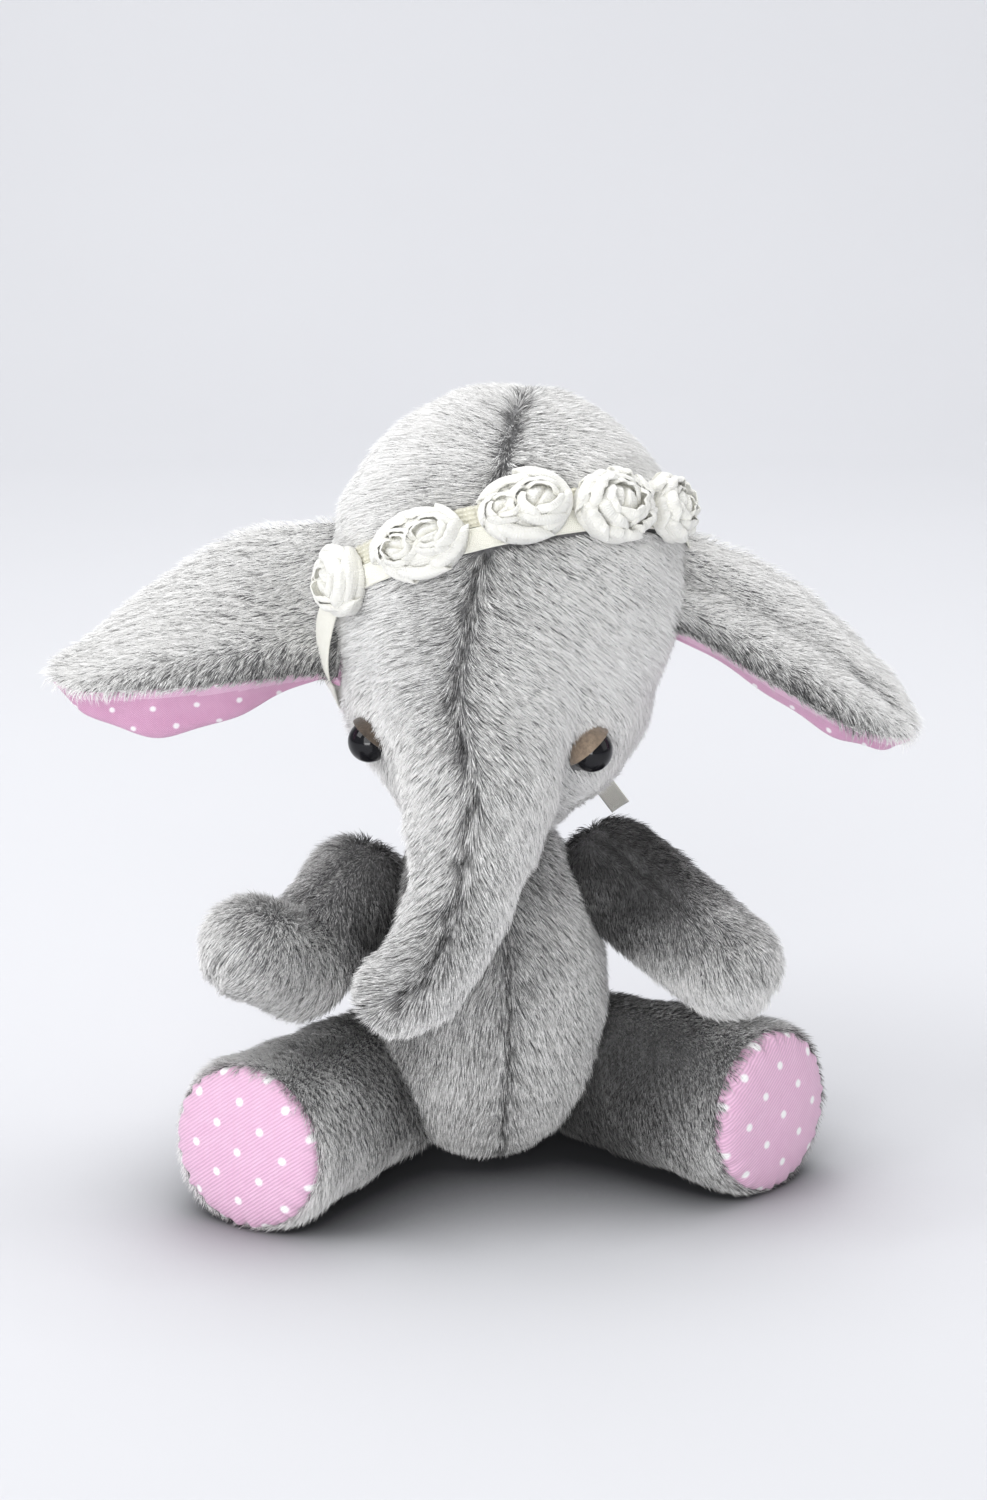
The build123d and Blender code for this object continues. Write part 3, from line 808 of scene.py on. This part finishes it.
# ---- arms ----
for number, (side, sections) in enumerate(ARMS.items()):
    at, axis, disc = JOINTS[f"shoulder_{side}"]
    axis = unit(axis)
    flat_at = np.array(at) + axis * JOINT_GAP
    forms = [
        past_plane(np.vstack([ball(p, r), ball(q, s)]), flat_at, -axis)
        for (p, r), (q, s) in zip(sections, sections[1:])
    ]
    arm = skin_of(f"arm_{side}_skin", forms, 1.1, 14 if side == "left" else 6, [BACKING])
    top, end = np.array(sections[0][0]), np.array(sections[-1][0])
    along = unit(end - top)
    across = unit(axis - (axis @ along) * along)
    seam_at = top + across * 2.0
    co, no = points_of(arm), normals_of(arm)
    gap = (co - seam_at) @ across
    co = co - no * (0.6 * hump(gap, 1.1))[:, None]
    set_points(arm, co)
    panels = [f"arm_{side}_{part}" for part in ("inner_panel", "outer_panel", "stuffing")]
    join(arm, f"arm_{side}", "plush", *panels, fill=0.9)
    line = smooth_line([c for c, r in sections], 40)
    ways = units(np.gradient(line, axis=0))

    def arm_nap(p, n):
        found = ((p[:, None, :] - line[None]) ** 2).sum(2).argmin(1)
        return ways[found] * 0.8 + np.array((0, 0, -0.75))

    def arm_tone(p, n):
        share = ((p - top) @ along) / np.linalg.norm(end - top)
        seam = 0.24 * hump((p - seam_at) @ across, 0.9)
        # Painted light and shade: the left arm's upward faces are lighter and its side facing the trunk, near
        # the shoulder, darker for the trunk's shadow; the right arm's low tone, darkest near the shoulder, is
        # painted shade on that side. Both lighten towards the paw.
        if side == "left":
            light = 0.68 + 0.28 * step(share, 0.1, 0.8) + 0.10 * step(n[:, 2], 0.0, 0.9) - seam
            return light - 0.62 * step(n[:, 0], -0.3, 0.6) * step(share, 0.75, 0.3)
        return 0.08 + 0.88 * step(share, 0.2, 1.1) - seam + 0.22 * step(n[:, 2], 0.2, -0.7) * share

    def arm_keep(p, n):
        return away_from_discs(p, [f"shoulder_{side}"])

    grow(f"arm_{side}", f"arm_{side}", arm, arm_nap, arm_tone, arm_keep, mottle=0.09, seed=61 + 7 * number)


# ---- legs and foot pads ----
for number, (side, ((hip, r0), (foot, r1))) in enumerate(LEGS.items()):
    at, axis, disc = JOINTS[f"hip_{side}"]
    axis = unit(axis)
    hip, foot = np.array(hip), np.array(foot)
    way = unit(foot - hip)
    form = np.vstack([ball(hip, r0), ball(foot + way * r1, r1)])
    form = past_plane(form, np.array(at) + axis * JOINT_GAP, -axis)
    cut = form[(form - foot) @ way < 0]
    flat_u, flat_v, _ = frame_of(way)
    circle = np.outer(np.cos(around), flat_u) + np.outer(np.sin(around), flat_v)
    rings = [
        foot + way * drop + (r1 - inset) * circle for drop, inset in ((-1.6, 0.0), (-0.5, 0.35), (0.0, 1.4))
    ]
    form = past_plane(np.vstack([cut] + rings), (0, 0, 0), (0, 0, -1))
    leg = skin_of(f"leg_{side}_skin", [form], 1.2, 5, [BACKING])
    co = points_of(leg)
    co[:, 2] = np.maximum(co[:, 2], 0.15)
    set_points(leg, co)
    join(leg, f"leg_{side}", "plush", f"leg_{side}_cover", f"leg_{side}_stuffing", fill=0.9)

    def leg_nap(p, n):
        return way * 0.75 + np.array((0, 0, -0.65))

    def leg_tone(p, n):
        share = ((p - hip) @ way) / np.linalg.norm(foot - hip)
        # Painted light on the upward faces of both legs; the right leg's low tone, darkest near the hip, is
        # painted shade on that side.
        if side == "left":
            light = 0.42 + 0.50 * step(share, 0.2, 0.7) + 0.14 * step(n[:, 2], 0.3, 1.0)
            light = light + 0.34 * step(n[:, 2], 0.1, -0.7)
        else:
            light = 0.03 + 0.56 * step(share, 0.25, 0.9)
            light = light + 0.18 * step(n[:, 2], 0.2, -0.6) * step(share, 0.35, 0.7)
            light = light + 0.2 * step(n[:, 2], 0.75, 1.0)
        return light - 0.30 * step(share, 0.95, 1.0)

    def leg_keep(p, n):
        on_pad = ((p - foot) @ way > -1.0) & (n @ way > 0.75)
        return away_from_discs(p, [f"hip_{side}"]) & ~on_pad

    grow(f"leg_{side}", f"leg_{side}", leg, leg_nap, leg_tone, leg_keep, mottle=0.09, seed=81 + 7 * number)

    rim = r1 - 0.4
    rows, cols = 36, 144
    share = np.linspace(0, 1, rows)[:, None]
    angle = np.linspace(0, 2 * np.pi, cols, endpoint=False)[None]
    r = np.random.default_rng(91 + number)
    puckers = sum(
        r.uniform(0.4, 1.0) * np.sin(k * angle + r.uniform(0, 6.28)) for k in (17, 23, 29, 37, 41)
    )
    outer = rim * np.sin(share * np.pi / 2 * 0.985)
    near_rim = np.sin(share * np.pi / 2) ** 9
    height = 0.4 + (PAD_CROWN + 0.6) * (1 - share**2) ** 0.85 + 0.26 * puckers * near_rim
    height = height + 0.22 * np.sin(2.3 * share * np.cos(angle + 0.4) * 3) * (1 - share)
    height = height - 0.9 * step(share, 0.965, 1.0)
    edge = outer * (1 + 0.008 * puckers * near_rim) + 0 * angle
    x, y = edge * np.cos(angle), edge * np.sin(angle)
    co = foot + x[..., None] * flat_u + y[..., None] * flat_v + height[..., None] * way
    co[..., 2] = np.maximum(co[..., 2], 0.4)
    co = co.reshape(-1, 3)
    back = co - way * 0.7
    back[:, 2] = np.maximum(back[:, 2], 0.3)
    faces = grid_faces(rows, cols, around=True)
    under = [tuple(i + len(co) for i in reversed(f)) for f in faces]
    last = [(rows - 1) * cols + j for j in range(cols)]
    side_faces = [(a + len(co), b + len(co), b, a) for a, b in zip(last, last[1:] + last[:1])]
    pad = new_object(
        f"foot_pad_{side}", np.vstack([co, back]), faces + under + side_faces, [FOOT_COTTON],
        layer=(np.vstack([x, x]), np.vstack([y, y])),
    )
    outward(pad, merge=1e-6)
    join(pad, f"leg_{side}", "pin_dot_cotton", f"leg_{side}_foot_pad", fill=0.7)


# ---- ears ----
LAYER_GAP = 0.3
SPLIT = 0.6
SAG_AT = 0.8
EAR_ROWS = 100
EAR_TUCK = {"left": (8.0, 0.0, -1.0), "right": (-8.0, 0.0, 1.0)}


def ear_rails(side):
    """The ear's two edges, and its heights, from a hidden station inside the head to the tip."""
    stations = EARS[side]
    inward = np.array(EAR_TUCK[side])
    rear, fore, *heights = stations[0]
    stations = [(np.array(rear) + inward, np.array(fore) + inward, *heights)] + stations
    back = smooth_line([s[0] for s in stations], EAR_ROWS)
    front = smooth_line([s[1] for s in stations], EAR_ROWS)
    rise = smooth_line([s[2] for s in stations], EAR_ROWS)[:, 0]
    sag = smooth_line([s[3] for s in stations], EAR_ROWS)[:, 0]
    chord = front - back
    size = (chord**2).sum(1, keepdims=True)
    up = units(np.array((0, 0, 1.0)) - chord * chord[:, 2:] / size)
    return back, front, chord, up, rise, sag


def ear_shape(side, u, v):
    """Extra height of the plush side, in millimetres: u runs root to tip, v back to front."""
    if side == "right":
        fold = 1.9 * hump(v - 0.24 - 0.10 * u, 0.13) + 1.5 * hump(v - 0.80, 0.12)
        dip = -1.6 * hump(v - 0.52 - 0.04 * u, 0.13)
        return (fold + dip) * step(u, 0.0, 0.12) * step(u, 1.0, 0.8)
    lip = 1.2 * hump(v - 0.86, 0.13) * step(u, 0.9, 0.6)
    return lip - 1.3 * hump(v - 0.5, 0.3) * step(u, 0.05, 0.3)


for number, side in enumerate(EARS):
    back, front, chord, up, rise, sag = ear_rails(side)
    u = np.linspace(0, 1, EAR_ROWS)[:, None]
    top_v = np.linspace(0, 1, 34)[None]
    low_v = np.linspace(1, 0, 18)[None, 1:-1]
    arch = np.sin(np.pi * top_v)
    crown = rise[:, None] * arch**0.75 + ear_shape(side, u, top_v) * arch**0.4
    under = -SPLIT * rise[:, None] * np.sin(np.pi * low_v) ** 0.8
    v = np.concatenate([top_v + 0 * u, low_v + 0 * u], 1)
    height = np.concatenate([crown, under], 1)
    co = back[:, None] + chord[:, None] * v[..., None] + up[:, None] * height[..., None]
    cols = co.shape[1]
    plush = new_object(f"ear_{side}_skin", co, tube_faces(EAR_ROWS, cols), [BACKING])
    outward(plush)
    plush.data.polygons.foreach_set("use_smooth", [True] * len(plush.data.polygons))
    join(plush, "head", "plush", f"ear_{side}_plush", fill=0.2)
    sign = -1.0 if side == "left" else 1.0

    def ear_uv(p):
        middle = back + chord * 0.5
        found = np.abs(p[:, None, 0] - middle[None, :, 0]).argmin(1)
        size = (chord[found] ** 2).sum(1)
        return found / (EAR_ROWS - 1), ((p - back[found]) * chord[found]).sum(1) / size, up[found]

    def ear_nap(p, n):
        u, v, up = ear_uv(p)
        outward = np.array((sign * 0.9, -0.25, -0.35))
        edge = step(v, 0.7, 1.0)[:, None]
        return outward * (1 - 0.6 * edge) + np.array((0, -0.8, -0.5)) * edge

    def ear_tone(p, n):
        u, v, up = ear_uv(p)
        # Painted shade: the hair near the root, where the ear meets the head, is darker, and on the right ear
        # so is the groove down its middle.
        if side == "left":
            light = 1.34 - 0.66 * hump(v - 0.97, 0.13) * step(u, 0.95, 0.3)
            light = light - 0.22 * step(u, 0.35, 0.1) * step(v, 0.15, 0.6)
            light = light - 0.42 * step(u, 0.12, 0.0) * step(v, 0.35, 0.05)
        else:
            light = 1.30 - 0.70 * hump(v - 0.97, 0.12) * step(u, 0.97, 0.6)
            light = light - 0.22 * hump(v - 0.52, 0.13) - 0.2 * step(u, 0.2, 0.0)
        return light + 0.12 * step(v, 0.12, 0.0)

    def ear_keep(p, n):
        u, v, up = ear_uv(p)
        return ((n * up).sum(1) > -0.25) & (u > 0.01)

    grow(
        f"ear_{side}", "head", plush, ear_nap, ear_tone, ear_keep,
        length=4.2, per_mm2=8.0, lean=1.45, seed=101 + 7 * number,
    )

    low = back + chord * SAG_AT
    low[:, 2] = front[:, 2] - sag
    meet = back + chord * 0.5 - up * (SPLIT * rise)[:, None]
    drop = np.array((0, 0, -LAYER_GAP))
    across_low = 40
    path = np.empty((EAR_ROWS, across_low + 14, 3))
    for i in range(EAR_ROWS):
        bulge = front[i] * 0.55 + low[i] * 0.45 + np.array((0, -0.06 * sag[i], -0.02 * sag[i]))
        tuck = back[i] * 0.5 + low[i] * 0.5 - up[i] * 0.8
        path[i, :across_low] = smooth_line([front[i], bulge, low[i], tuck, back[i]], across_low)
        path[i, across_low:] = smooth_line([back[i], meet[i], front[i]], 16)[1:-1]
    path = path + drop
    s = np.linspace(0, 1, across_low)[None]
    fold = 0.9 * np.sin(9.0 * s - 2.2 * u + number) * hump(s - 0.45, 0.25)
    fold = fold + 0.35 * np.sin(31 * u + 4 * s) * step(s, 0.05, 0.3) * step(s, 0.9, 0.6)
    ease = step(u, 0.0, 0.1) * step(u, 1.0, 0.85)
    path[:, :across_low] += (fold * ease)[..., None] * np.array((0, -0.35, -0.9))
    cols = path.shape[1]
    measure = np.cumsum(np.linalg.norm(np.diff(path, axis=1, prepend=path[:, :1]), axis=2), axis=1)
    run = np.cumsum(np.linalg.norm(np.diff(low, axis=0, prepend=low[:1]), axis=1))[:, None]
    lining = new_object(
        f"ear_{side}_lining_cloth", path, tube_faces(EAR_ROWS, cols), [SHADED_LINING, LIT_RIM_COTTON],
        layer=(run, measure),
    )
    # Painted light and shade: the cloth within 2.4 mm of the front rim takes the lighter copy, and the rest
    # takes the darker copy.
    index = np.zeros(len(lining.data.polygons), np.int32)
    for i in range(EAR_ROWS - 1):
        for j in range(cols):
            if measure[i, j] < 2.4 and j < across_low:
                index[i * cols + j] = 1
    lining.data.polygons.foreach_set("material_index", index)
    outward(lining)
    join(lining, "head", "pin_dot_cotton", f"ear_{side}_lining", fill=0.2)


# ---- headband ----
def band_ring(offset, lift, angles):
    """Points round the head at a height over the band's plane, lifted from the cloth. Angle 0 is in front."""
    middle = CRANIUM - BAND_NORMAL * ((CRANIUM - BAND_POINT) @ BAND_NORMAL) + BAND_NORMAL * offset
    forward = np.array((0, -1.0, 0))
    ahead = unit(forward - BAND_NORMAL * (forward @ BAND_NORMAL))
    aside = np.cross(BAND_NORMAL, ahead)
    ways = [ahead * math.cos(a) + aside * math.sin(a) for a in angles]
    return np.array([middle + way * (skull_reach(middle, way) + lift) for way in ways])


def strip(name, low, high, lift, rear, rows, count, relief, material):
    """A band of cloth round the front of the head, between two heights and as far back as y = rear."""
    angles = np.linspace(-math.pi, math.pi, 721)
    chosen = angles[band_ring((low + high) / 2, lift, angles)[:, 1] < rear]
    angles = np.linspace(chosen[0], chosen[-1], count)
    heights = np.linspace(low, high, rows)
    co = np.stack([band_ring(h, lift, angles) for h in heights])
    middle = co.mean(axis=(0, 1))
    out = units(co - (CRANIUM * 0.7 + middle * 0.3))
    run = np.cumsum(np.linalg.norm(np.diff(co[0], axis=0, prepend=co[0][:1]), axis=1))
    along = np.tile(run, (rows, 1))
    up = np.tile(heights[:, None], (1, count))
    co = co + out * relief(along, up)[..., None]
    made = new_object(name, co, grid_faces(rows, count), [material], layer=(along, up))
    return thicken(made, RIBBON_THICK, offset=0.0)


half = BAND_WIDTH / 2
ribbon = strip(
    "headband_ribbon_cloth", -half, half, 1.9, -9.0, 15, 260,
    lambda s, w: 0.25 * np.cos(w / half * math.pi / 2) + 0.35 * hump(np.abs(w) - half, 0.5)
    + 0.22 * np.sin(s / 5.1 + 0.6 * w) * (w > -2) + 0.12 * np.sin(s / 1.7 + w),
    RIBBON,
)
join(ribbon, "head", "ribbon", "headband_ribbon")
net = strip(
    "headband_net_cloth", half + 0.2, half + NET_WIDTH, 1.6, -12.0, 34, 300,
    lambda s, w: 0.34 * np.abs(np.sin(w * math.pi / 1.15)) + 0.16 * np.sin(s * 2.4) + 0.2 * np.sin(s / 3.1),
    NET,
)
join(net, "head", "net", "headband_net")


def strap(name, ways, lifts, width, count=110, rows=11):
    """A flat ribbon over the head through several directions from the middle of the cranium."""
    path = smooth_line([unit(np.array(w) - CRANIUM) for w in ways], count)
    lift = smooth_line(lifts, count)[:, 0]
    middle = np.array([on_head(w, h) for w, h in zip(path, lift)])
    out = units(middle - (CRANIUM * 0.8 + np.array(CHEEKS[0]) * 0.2))
    along = units(np.gradient(middle, axis=0))
    across = units(np.cross(out, along))
    w = np.linspace(-0.5, 0.5, rows)
    s = np.cumsum(np.linalg.norm(np.diff(middle, axis=0, prepend=middle[:1]), axis=1))
    sag = 0.35 * np.cos(w[None] * math.pi) + 0.3 * np.sin(s[:, None] / 3.6 + 3 * w[None])
    co = middle[:, None] + across[:, None] * (w[None] * width)[..., None] + out[:, None] * sag[..., None]
    made = new_object(name, co, grid_faces(count, rows), [RIBBON], layer=(s[:, None], w[None] * width))
    join(thicken(made, RIBBON_THICK, offset=0.0), "head", "ribbon", "headband_tie")


KNOT_AT = CRANIUM + KNOT_WAY * 52.0
strap(
    "headband_left_cloth",
    [
        (-37, -21, 153), (-43, -18, 142), (-45, -14, 130), (-42, 0, 120), (-30, 20, 114),
        (-12, 31, 113), KNOT_AT,
    ],
    [3.4, 5.5, 6.5, 4.5, 2.4, 2.2, 3.0], 8.0,
)
strap(
    "headband_right_cloth", [(49, -10, 168), (50, 8, 156), (42, 26, 138), (27, 33, 124), KNOT_AT],
    [2.4, 2.2, 2.0, 2.0, 3.0], 5.5,
)


def bud(centre, radius, height, seed, rows=30, cols=90):
    """The closed heart of a rose, a crinkled dome with one slit across it."""
    r = np.random.default_rng(seed)
    t = np.linspace(0.02, 1, rows)[:, None]
    angle = np.linspace(0, 2 * np.pi, cols, endpoint=False)[None]
    phase = r.uniform(0, 6.28, 3)
    x, y = radius * t * np.cos(angle), radius * t * np.sin(angle)
    slit = hump(x * math.cos(phase[0]) + y * math.sin(phase[0]), 0.55) * (1 - t**2)
    z = height * (1 - t**2.6) ** 0.5 - 1.8 * slit + 0.12 * np.sin(13 * angle + 7 * t + phase[1]) * t
    co = np.stack([centre[0] + x, centre[1] + y, z + 0 * angle], 2)
    layer = np.stack([x, y], 2)
    return co.reshape(-1, 3), grid_faces(rows, cols, around=True), layer.reshape(-1, 2)


def shells(count, radius, height, width, close, ruffle, seed, centre=(0, 0), rows=15, cols=25):
    """Thin rounded petals that overlap in a ring and close in towards the middle at the top."""
    r = np.random.default_rng(seed)
    parts = []
    start = r.uniform(0, 6.28)
    for k in range(count):
        turn = start + 2 * np.pi * (k + r.uniform(-0.22, 0.22)) / count
        size = radius * r.uniform(0.92, 1.04)
        tall = height * r.uniform(0.86, 1.04)
        s = np.linspace(0, 1, rows)[:, None]
        w = np.linspace(-1, 1, cols)[None]
        angle = turn + w * width * (1 - 0.16 * s**3)
        spiral = 0.09 * size * w
        phase = r.uniform(0, 6.28, 2)
        frill = ruffle * (np.sin(w * 8.0 + phase[0]) + 0.6 * np.sin(w * 14.0 + phase[1])) * s**1.6
        swell = 0.80 + 0.22 * np.sin(np.pi * s * 0.9) - close * s**2.4
        reach = size * swell + spiral + frill + 0.5 * s**8
        z = tall * np.sin(np.pi * 0.53 * s) * (1 - 0.34 * w**6) + 0.5 * frill
        co = np.stack([centre[0] + reach * np.cos(angle), centre[1] + reach * np.sin(angle), z + 0 * w], 2)
        layer = np.stack([w * width * size + 0 * s, reach + z], 2)
        parts.append((co.reshape(-1, 3), grid_faces(rows, cols), layer.reshape(-1, 2)))
    return parts


def one_heart(radius, height, ruffle, seed, centre=(0, 0)):
    """A bud with a tight ring of petals round it."""
    heart = [bud(centre, radius * 0.70, height * 0.96, seed)]
    heart += shells(3, radius * 0.72, height * 1.06, 1.25, 0.30, ruffle * 0.6, seed + 1, centre)
    return heart + shells(4, radius, height * 0.94, 1.05, 0.22, ruffle, seed + 2, centre)


# Each rose: hearts as (share of radius, share of height, ruffle, seed, centre), the outer petals as
# (count, share of height, width, close, ruffle, seed), and its stretch along and across the band.
ROSE_HEARTS = {
    1: [(0.84, 1.08, 0.10, 11, (0, 0))],
    2: [(0.60, 1.06, 0.12, 21, (0.36, 0.5)), (0.52, 0.94, 0.12, 25, (-0.40, -0.5))],
    3: [(0.70, 1.08, 0.10, 31, (0.26, 0)), (0.50, 0.92, 0.10, 35, (-0.50, -0.4))],
    4: [(0.80, 1.06, 0.34, 41, (0, 0))],
    5: [(0.80, 1.06, 0.36, 51, (0, 0))],
}
ROSE_PETALS = {
    1: (4, 0.70, 1.0, 0.20, 0.12, 15),
    2: (6, 0.66, 0.84, 0.24, 0.18, 29),
    3: (5, 0.66, 0.98, 0.24, 0.14, 39),
    4: (7, 0.76, 0.66, 0.14, 0.42, 45),
    5: (6, 0.78, 0.70, 0.14, 0.42, 55),
}


def rose_parts(number, radius, height):
    parts = [bud((0, 0), radius * 0.93, height * 0.66, 60 + number)]
    for wide, tall, ruffle, seed, (across, up) in ROSE_HEARTS[number]:
        parts += one_heart(radius * wide, height * tall, ruffle, seed, (radius * across, up))
    count, tall, width, close, ruffle, seed = ROSE_PETALS[number]
    return parts + shells(count, radius * 1.02, height * tall, width, close, ruffle, seed)


ROSE_STRETCH = [(0.85, 1.0), (1.14, 0.84), (1.08, 0.82), (1.0, 0.88), (0.9, 0.95)]
for number, (place, radius, height) in enumerate(ROSES, start=1):
    way = unit(np.array(place) - CRANIUM)
    across = unit(np.cross(BAND_NORMAL, way))
    upward = np.cross(way, across)
    at = on_head(way, 1.9)
    all_co, all_faces, all_layer, start = [], [], [], 0
    for co, faces, layer in rose_parts(number, radius, height):
        all_co.append(co)
        all_layer.append(layer)
        all_faces += [tuple(i + start for i in f) for f in faces]
        start += len(co)
    co = np.vstack(all_co)
    co[:, :2] *= ROSE_STRETCH[number - 1]
    co = at + co[:, :1] * across + co[:, 1:2] * upward + co[:, 2:] * way
    rose = new_object(f"rose_{number}_organza", co, all_faces, [ORGANZA], layer=np.vstack(all_layer).T)
    join(thicken(rose, PETAL_THICK, offset=0.0), "head", "organza", f"rose_{number}")

knot_at = on_head(KNOT_WAY, KNOT_R + 0.6)
knot_x, knot_y, knot_z = frame_of(KNOT_WAY)
co = BALL * (KNOT_R * 1.05, KNOT_R * 0.85, KNOT_R * 0.95)
twist = np.arctan2(co[:, 2], co[:, 1])
co = co * (1 + 0.07 * np.sin(5 * twist + 1.1 * co[:, 0]))[:, None]
co = knot_at + co[:, :1] * knot_x + co[:, 1:2] * knot_y + co[:, 2:] * knot_z
knot = new_object("headband_knot_cloth", co, BALL_FACES, [RIBBON], layer=(co - knot_at)[:, :2].T)
join(knot, "head", "ribbon", "headband_knot")
STREAMERS = [((3.0, 2.0, -22.0), 27.0), ((20.0, 1.0, -29.0), 36.0)]
for number, (hang, long) in enumerate(STREAMERS, start=1):
    end = knot_at + unit(np.array(hang)) * long
    s = np.linspace(0, 1, 40)[:, None]
    w = np.linspace(-1, 1, 11)[None]
    line = knot_at + (end - knot_at) * s
    side_way = unit(np.cross(end - knot_at, (0, 1, 0)))
    wide = 0.35 + (half - 0.35) * step(s, 0.0, 0.3)
    wave = 0.9 * np.sin(5.0 * s + number) * step(s, 0.0, 0.4) + 0.3 * np.cos(w * math.pi / 2)
    co = line[:, None] + side_way * (w * wide)[..., None]
    co = co + np.array((0, 1.0, 0.1)) * (wave + 0.6 + 0 * w)[..., None]
    streamer = new_object(
        f"headband_streamer_{number}", co, grid_faces(40, 11), [RIBBON], layer=(long * s, w * wide)
    )
    join(thicken(streamer, STREAMER_THICK, offset=0.0), "head", "ribbon")


# ---- eyes ----
def cut_ball(name, centre, radius, planes, material):
    """A ball with everything beyond each plane taken away."""
    bm = bmesh.new()
    bmesh.ops.create_icosphere(bm, subdivisions=5, radius=radius * MM)
    bmesh.ops.translate(bm, verts=bm.verts, vec=tuple(np.array(centre) * MM))
    for point, normal in planes:
        geom = bm.verts[:] + bm.edges[:] + bm.faces[:]
        bmesh.ops.bisect_plane(
            bm, geom=geom, dist=1e-7, clear_outer=True,
            plane_co=tuple(np.array(point) * MM), plane_no=tuple(unit(normal)),
        )
    mesh = bpy.data.meshes.new(name)
    bm.to_mesh(mesh)
    bm.free()
    mesh.materials.append(material)
    mesh.polygons.foreach_set("use_smooth", [True] * len(mesh.polygons))
    thing = bpy.data.objects.new(name, mesh)
    scene.collection.objects.link(thing)
    return thing


LID_CUT = {"left": (0.62, 0.0, 0.78), "right": (-0.66, 0.0, 0.75)}
LID_EDGE = {"left": 1.4, "right": 0.9}
for side, (at, normal) in EYES.items():
    normal = unit(normal)
    centre = np.array(at) + normal * 0.8
    eye = cut_ball(f"eye_{side}_dome", centre, EYE_R, [(centre - normal * 2.5, -normal)], GLASS)
    join(eye, "head", "black_glass", f"eye_{side}")
    cut = unit(LID_CUT[side])
    lid_at = centre + cut * LID_EDGE[side]
    planes = [(centre - normal * 0.6, -normal), (lid_at, -cut)]
    lid = cut_ball(f"eyelid_{side}_suede", centre, EYE_R + 0.25, planes, LID[side])
    join(thicken(lid, LID_THICK, offset=1.0), "head", "suede", f"eyelid_{side}")


# ---- parts inside ----
HARDBOARD = grainy("joint_hardboard", (0.34, 0.23, 0.13), (0.18, 0.11, 0.06), 0.85, 700.0)
STEEL = grainy("joint_steel", (0.62, 0.62, 0.63), (0.42, 0.42, 0.43), 0.35, 500.0, 1.0)
WASHER = grainy("washer_plastic", (0.75, 0.75, 0.72), (0.60, 0.60, 0.58), 0.5, 500.0)
for name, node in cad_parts.items():
    if name.endswith("_disc"):
        finish = HARDBOARD
    elif name.startswith("eye_") and name.endswith("_washer"):
        finish = WASHER
    elif name.endswith(("_washer", "_pin")):
        finish = STEEL
    else:
        continue
    node.data.materials.clear()
    node.data.materials.append(finish)


# ---- floor, backdrop and light ----
def studio(name, light, dark, scale):
    """Matt paper, with a painted contact shadow: darker where something stands close over it."""
    m = Nodes(name, 0.9)
    paper = m.ramp(m.noise(m.place(), scale), (0.3, dark), (0.7, light))
    # Painted contact shadow: ambient occlusion darkens the paper under and beside the toy.
    contact_shadow_ao = m.node("AmbientOcclusion", in_Distance=0.055)
    close = m.ramp(contact_shadow_ao.outputs["AO"], (0.25, (0.05, 0.05, 0.055)), (0.95, (1.0, 1.0, 1.0)))
    m.colour(m.mix(1.0, paper, close, "MULTIPLY"))
    return m.material


sweep = [(-3.0, 0.0), (0.9, 0.0)]
for a in np.linspace(0, math.pi / 2, 16):
    sweep.append((0.9 + 0.6 * math.sin(a), 0.6 - 0.6 * math.cos(a)))
sweep.append((1.5, 3.0))
co = [(x * 1000, y * 1000, z * 1000 - 0.05) for y, z in sweep for x in (-3.0, 3.0)]
paper = studio("studio_paper", (0.665, 0.67, 0.695), (0.65, 0.655, 0.68), 3.0)
floor = new_object("studio_floor", co, grid_faces(len(sweep), 2), [paper])

world = bpy.data.worlds.new("studio_world")
scene.world = world
world.use_nodes = True
world.node_tree.nodes["Background"].inputs["Color"].default_value = (0.95, 0.965, 1.0, 1.0)
world.node_tree.nodes["Background"].inputs["Strength"].default_value = 0.34


def soft_light(name, place, aim, size, power, colour=(1, 1, 1)):
    data = bpy.data.lights.new(name, "AREA")
    data.shape = "RECTANGLE"
    data.size, data.size_y = size
    data.energy = power
    data.color = colour
    lamp = bpy.data.objects.new(name, data)
    lamp.location = place
    way = np.subtract(aim, place)
    flat = math.hypot(way[0], way[1])
    lamp.rotation_euler = (math.atan2(flat, -way[2]), 0, math.atan2(-way[0], way[1]))
    scene.collection.objects.link(lamp)


soft_light("key", (-0.95, -0.35, 1.05), (0, 0, 0.1), (0.8, 0.8), 7.5)
soft_light("overhead", (0.1, 0.35, 1.25), (0, 0, 0.1), (1.0, 0.8), 8.5)
soft_light("side", (1.1, -0.1, 0.6), (0, 0, 0.1), (0.8, 0.8), 1.6)
soft_light("front", (-0.25, -1.35, 0.55), (0, 0, 0.1), (0.9, 0.9), 8.5)
soft_light("low_fill", (-0.2, -1.2, 0.12), (0, 0, 0.08), (0.6, 0.2), 3.0)
soft_light("backdrop_wash", (0.0, 0.5, 1.6), (0, 1.5, 0.6), (1.8, 0.8), 10.5)

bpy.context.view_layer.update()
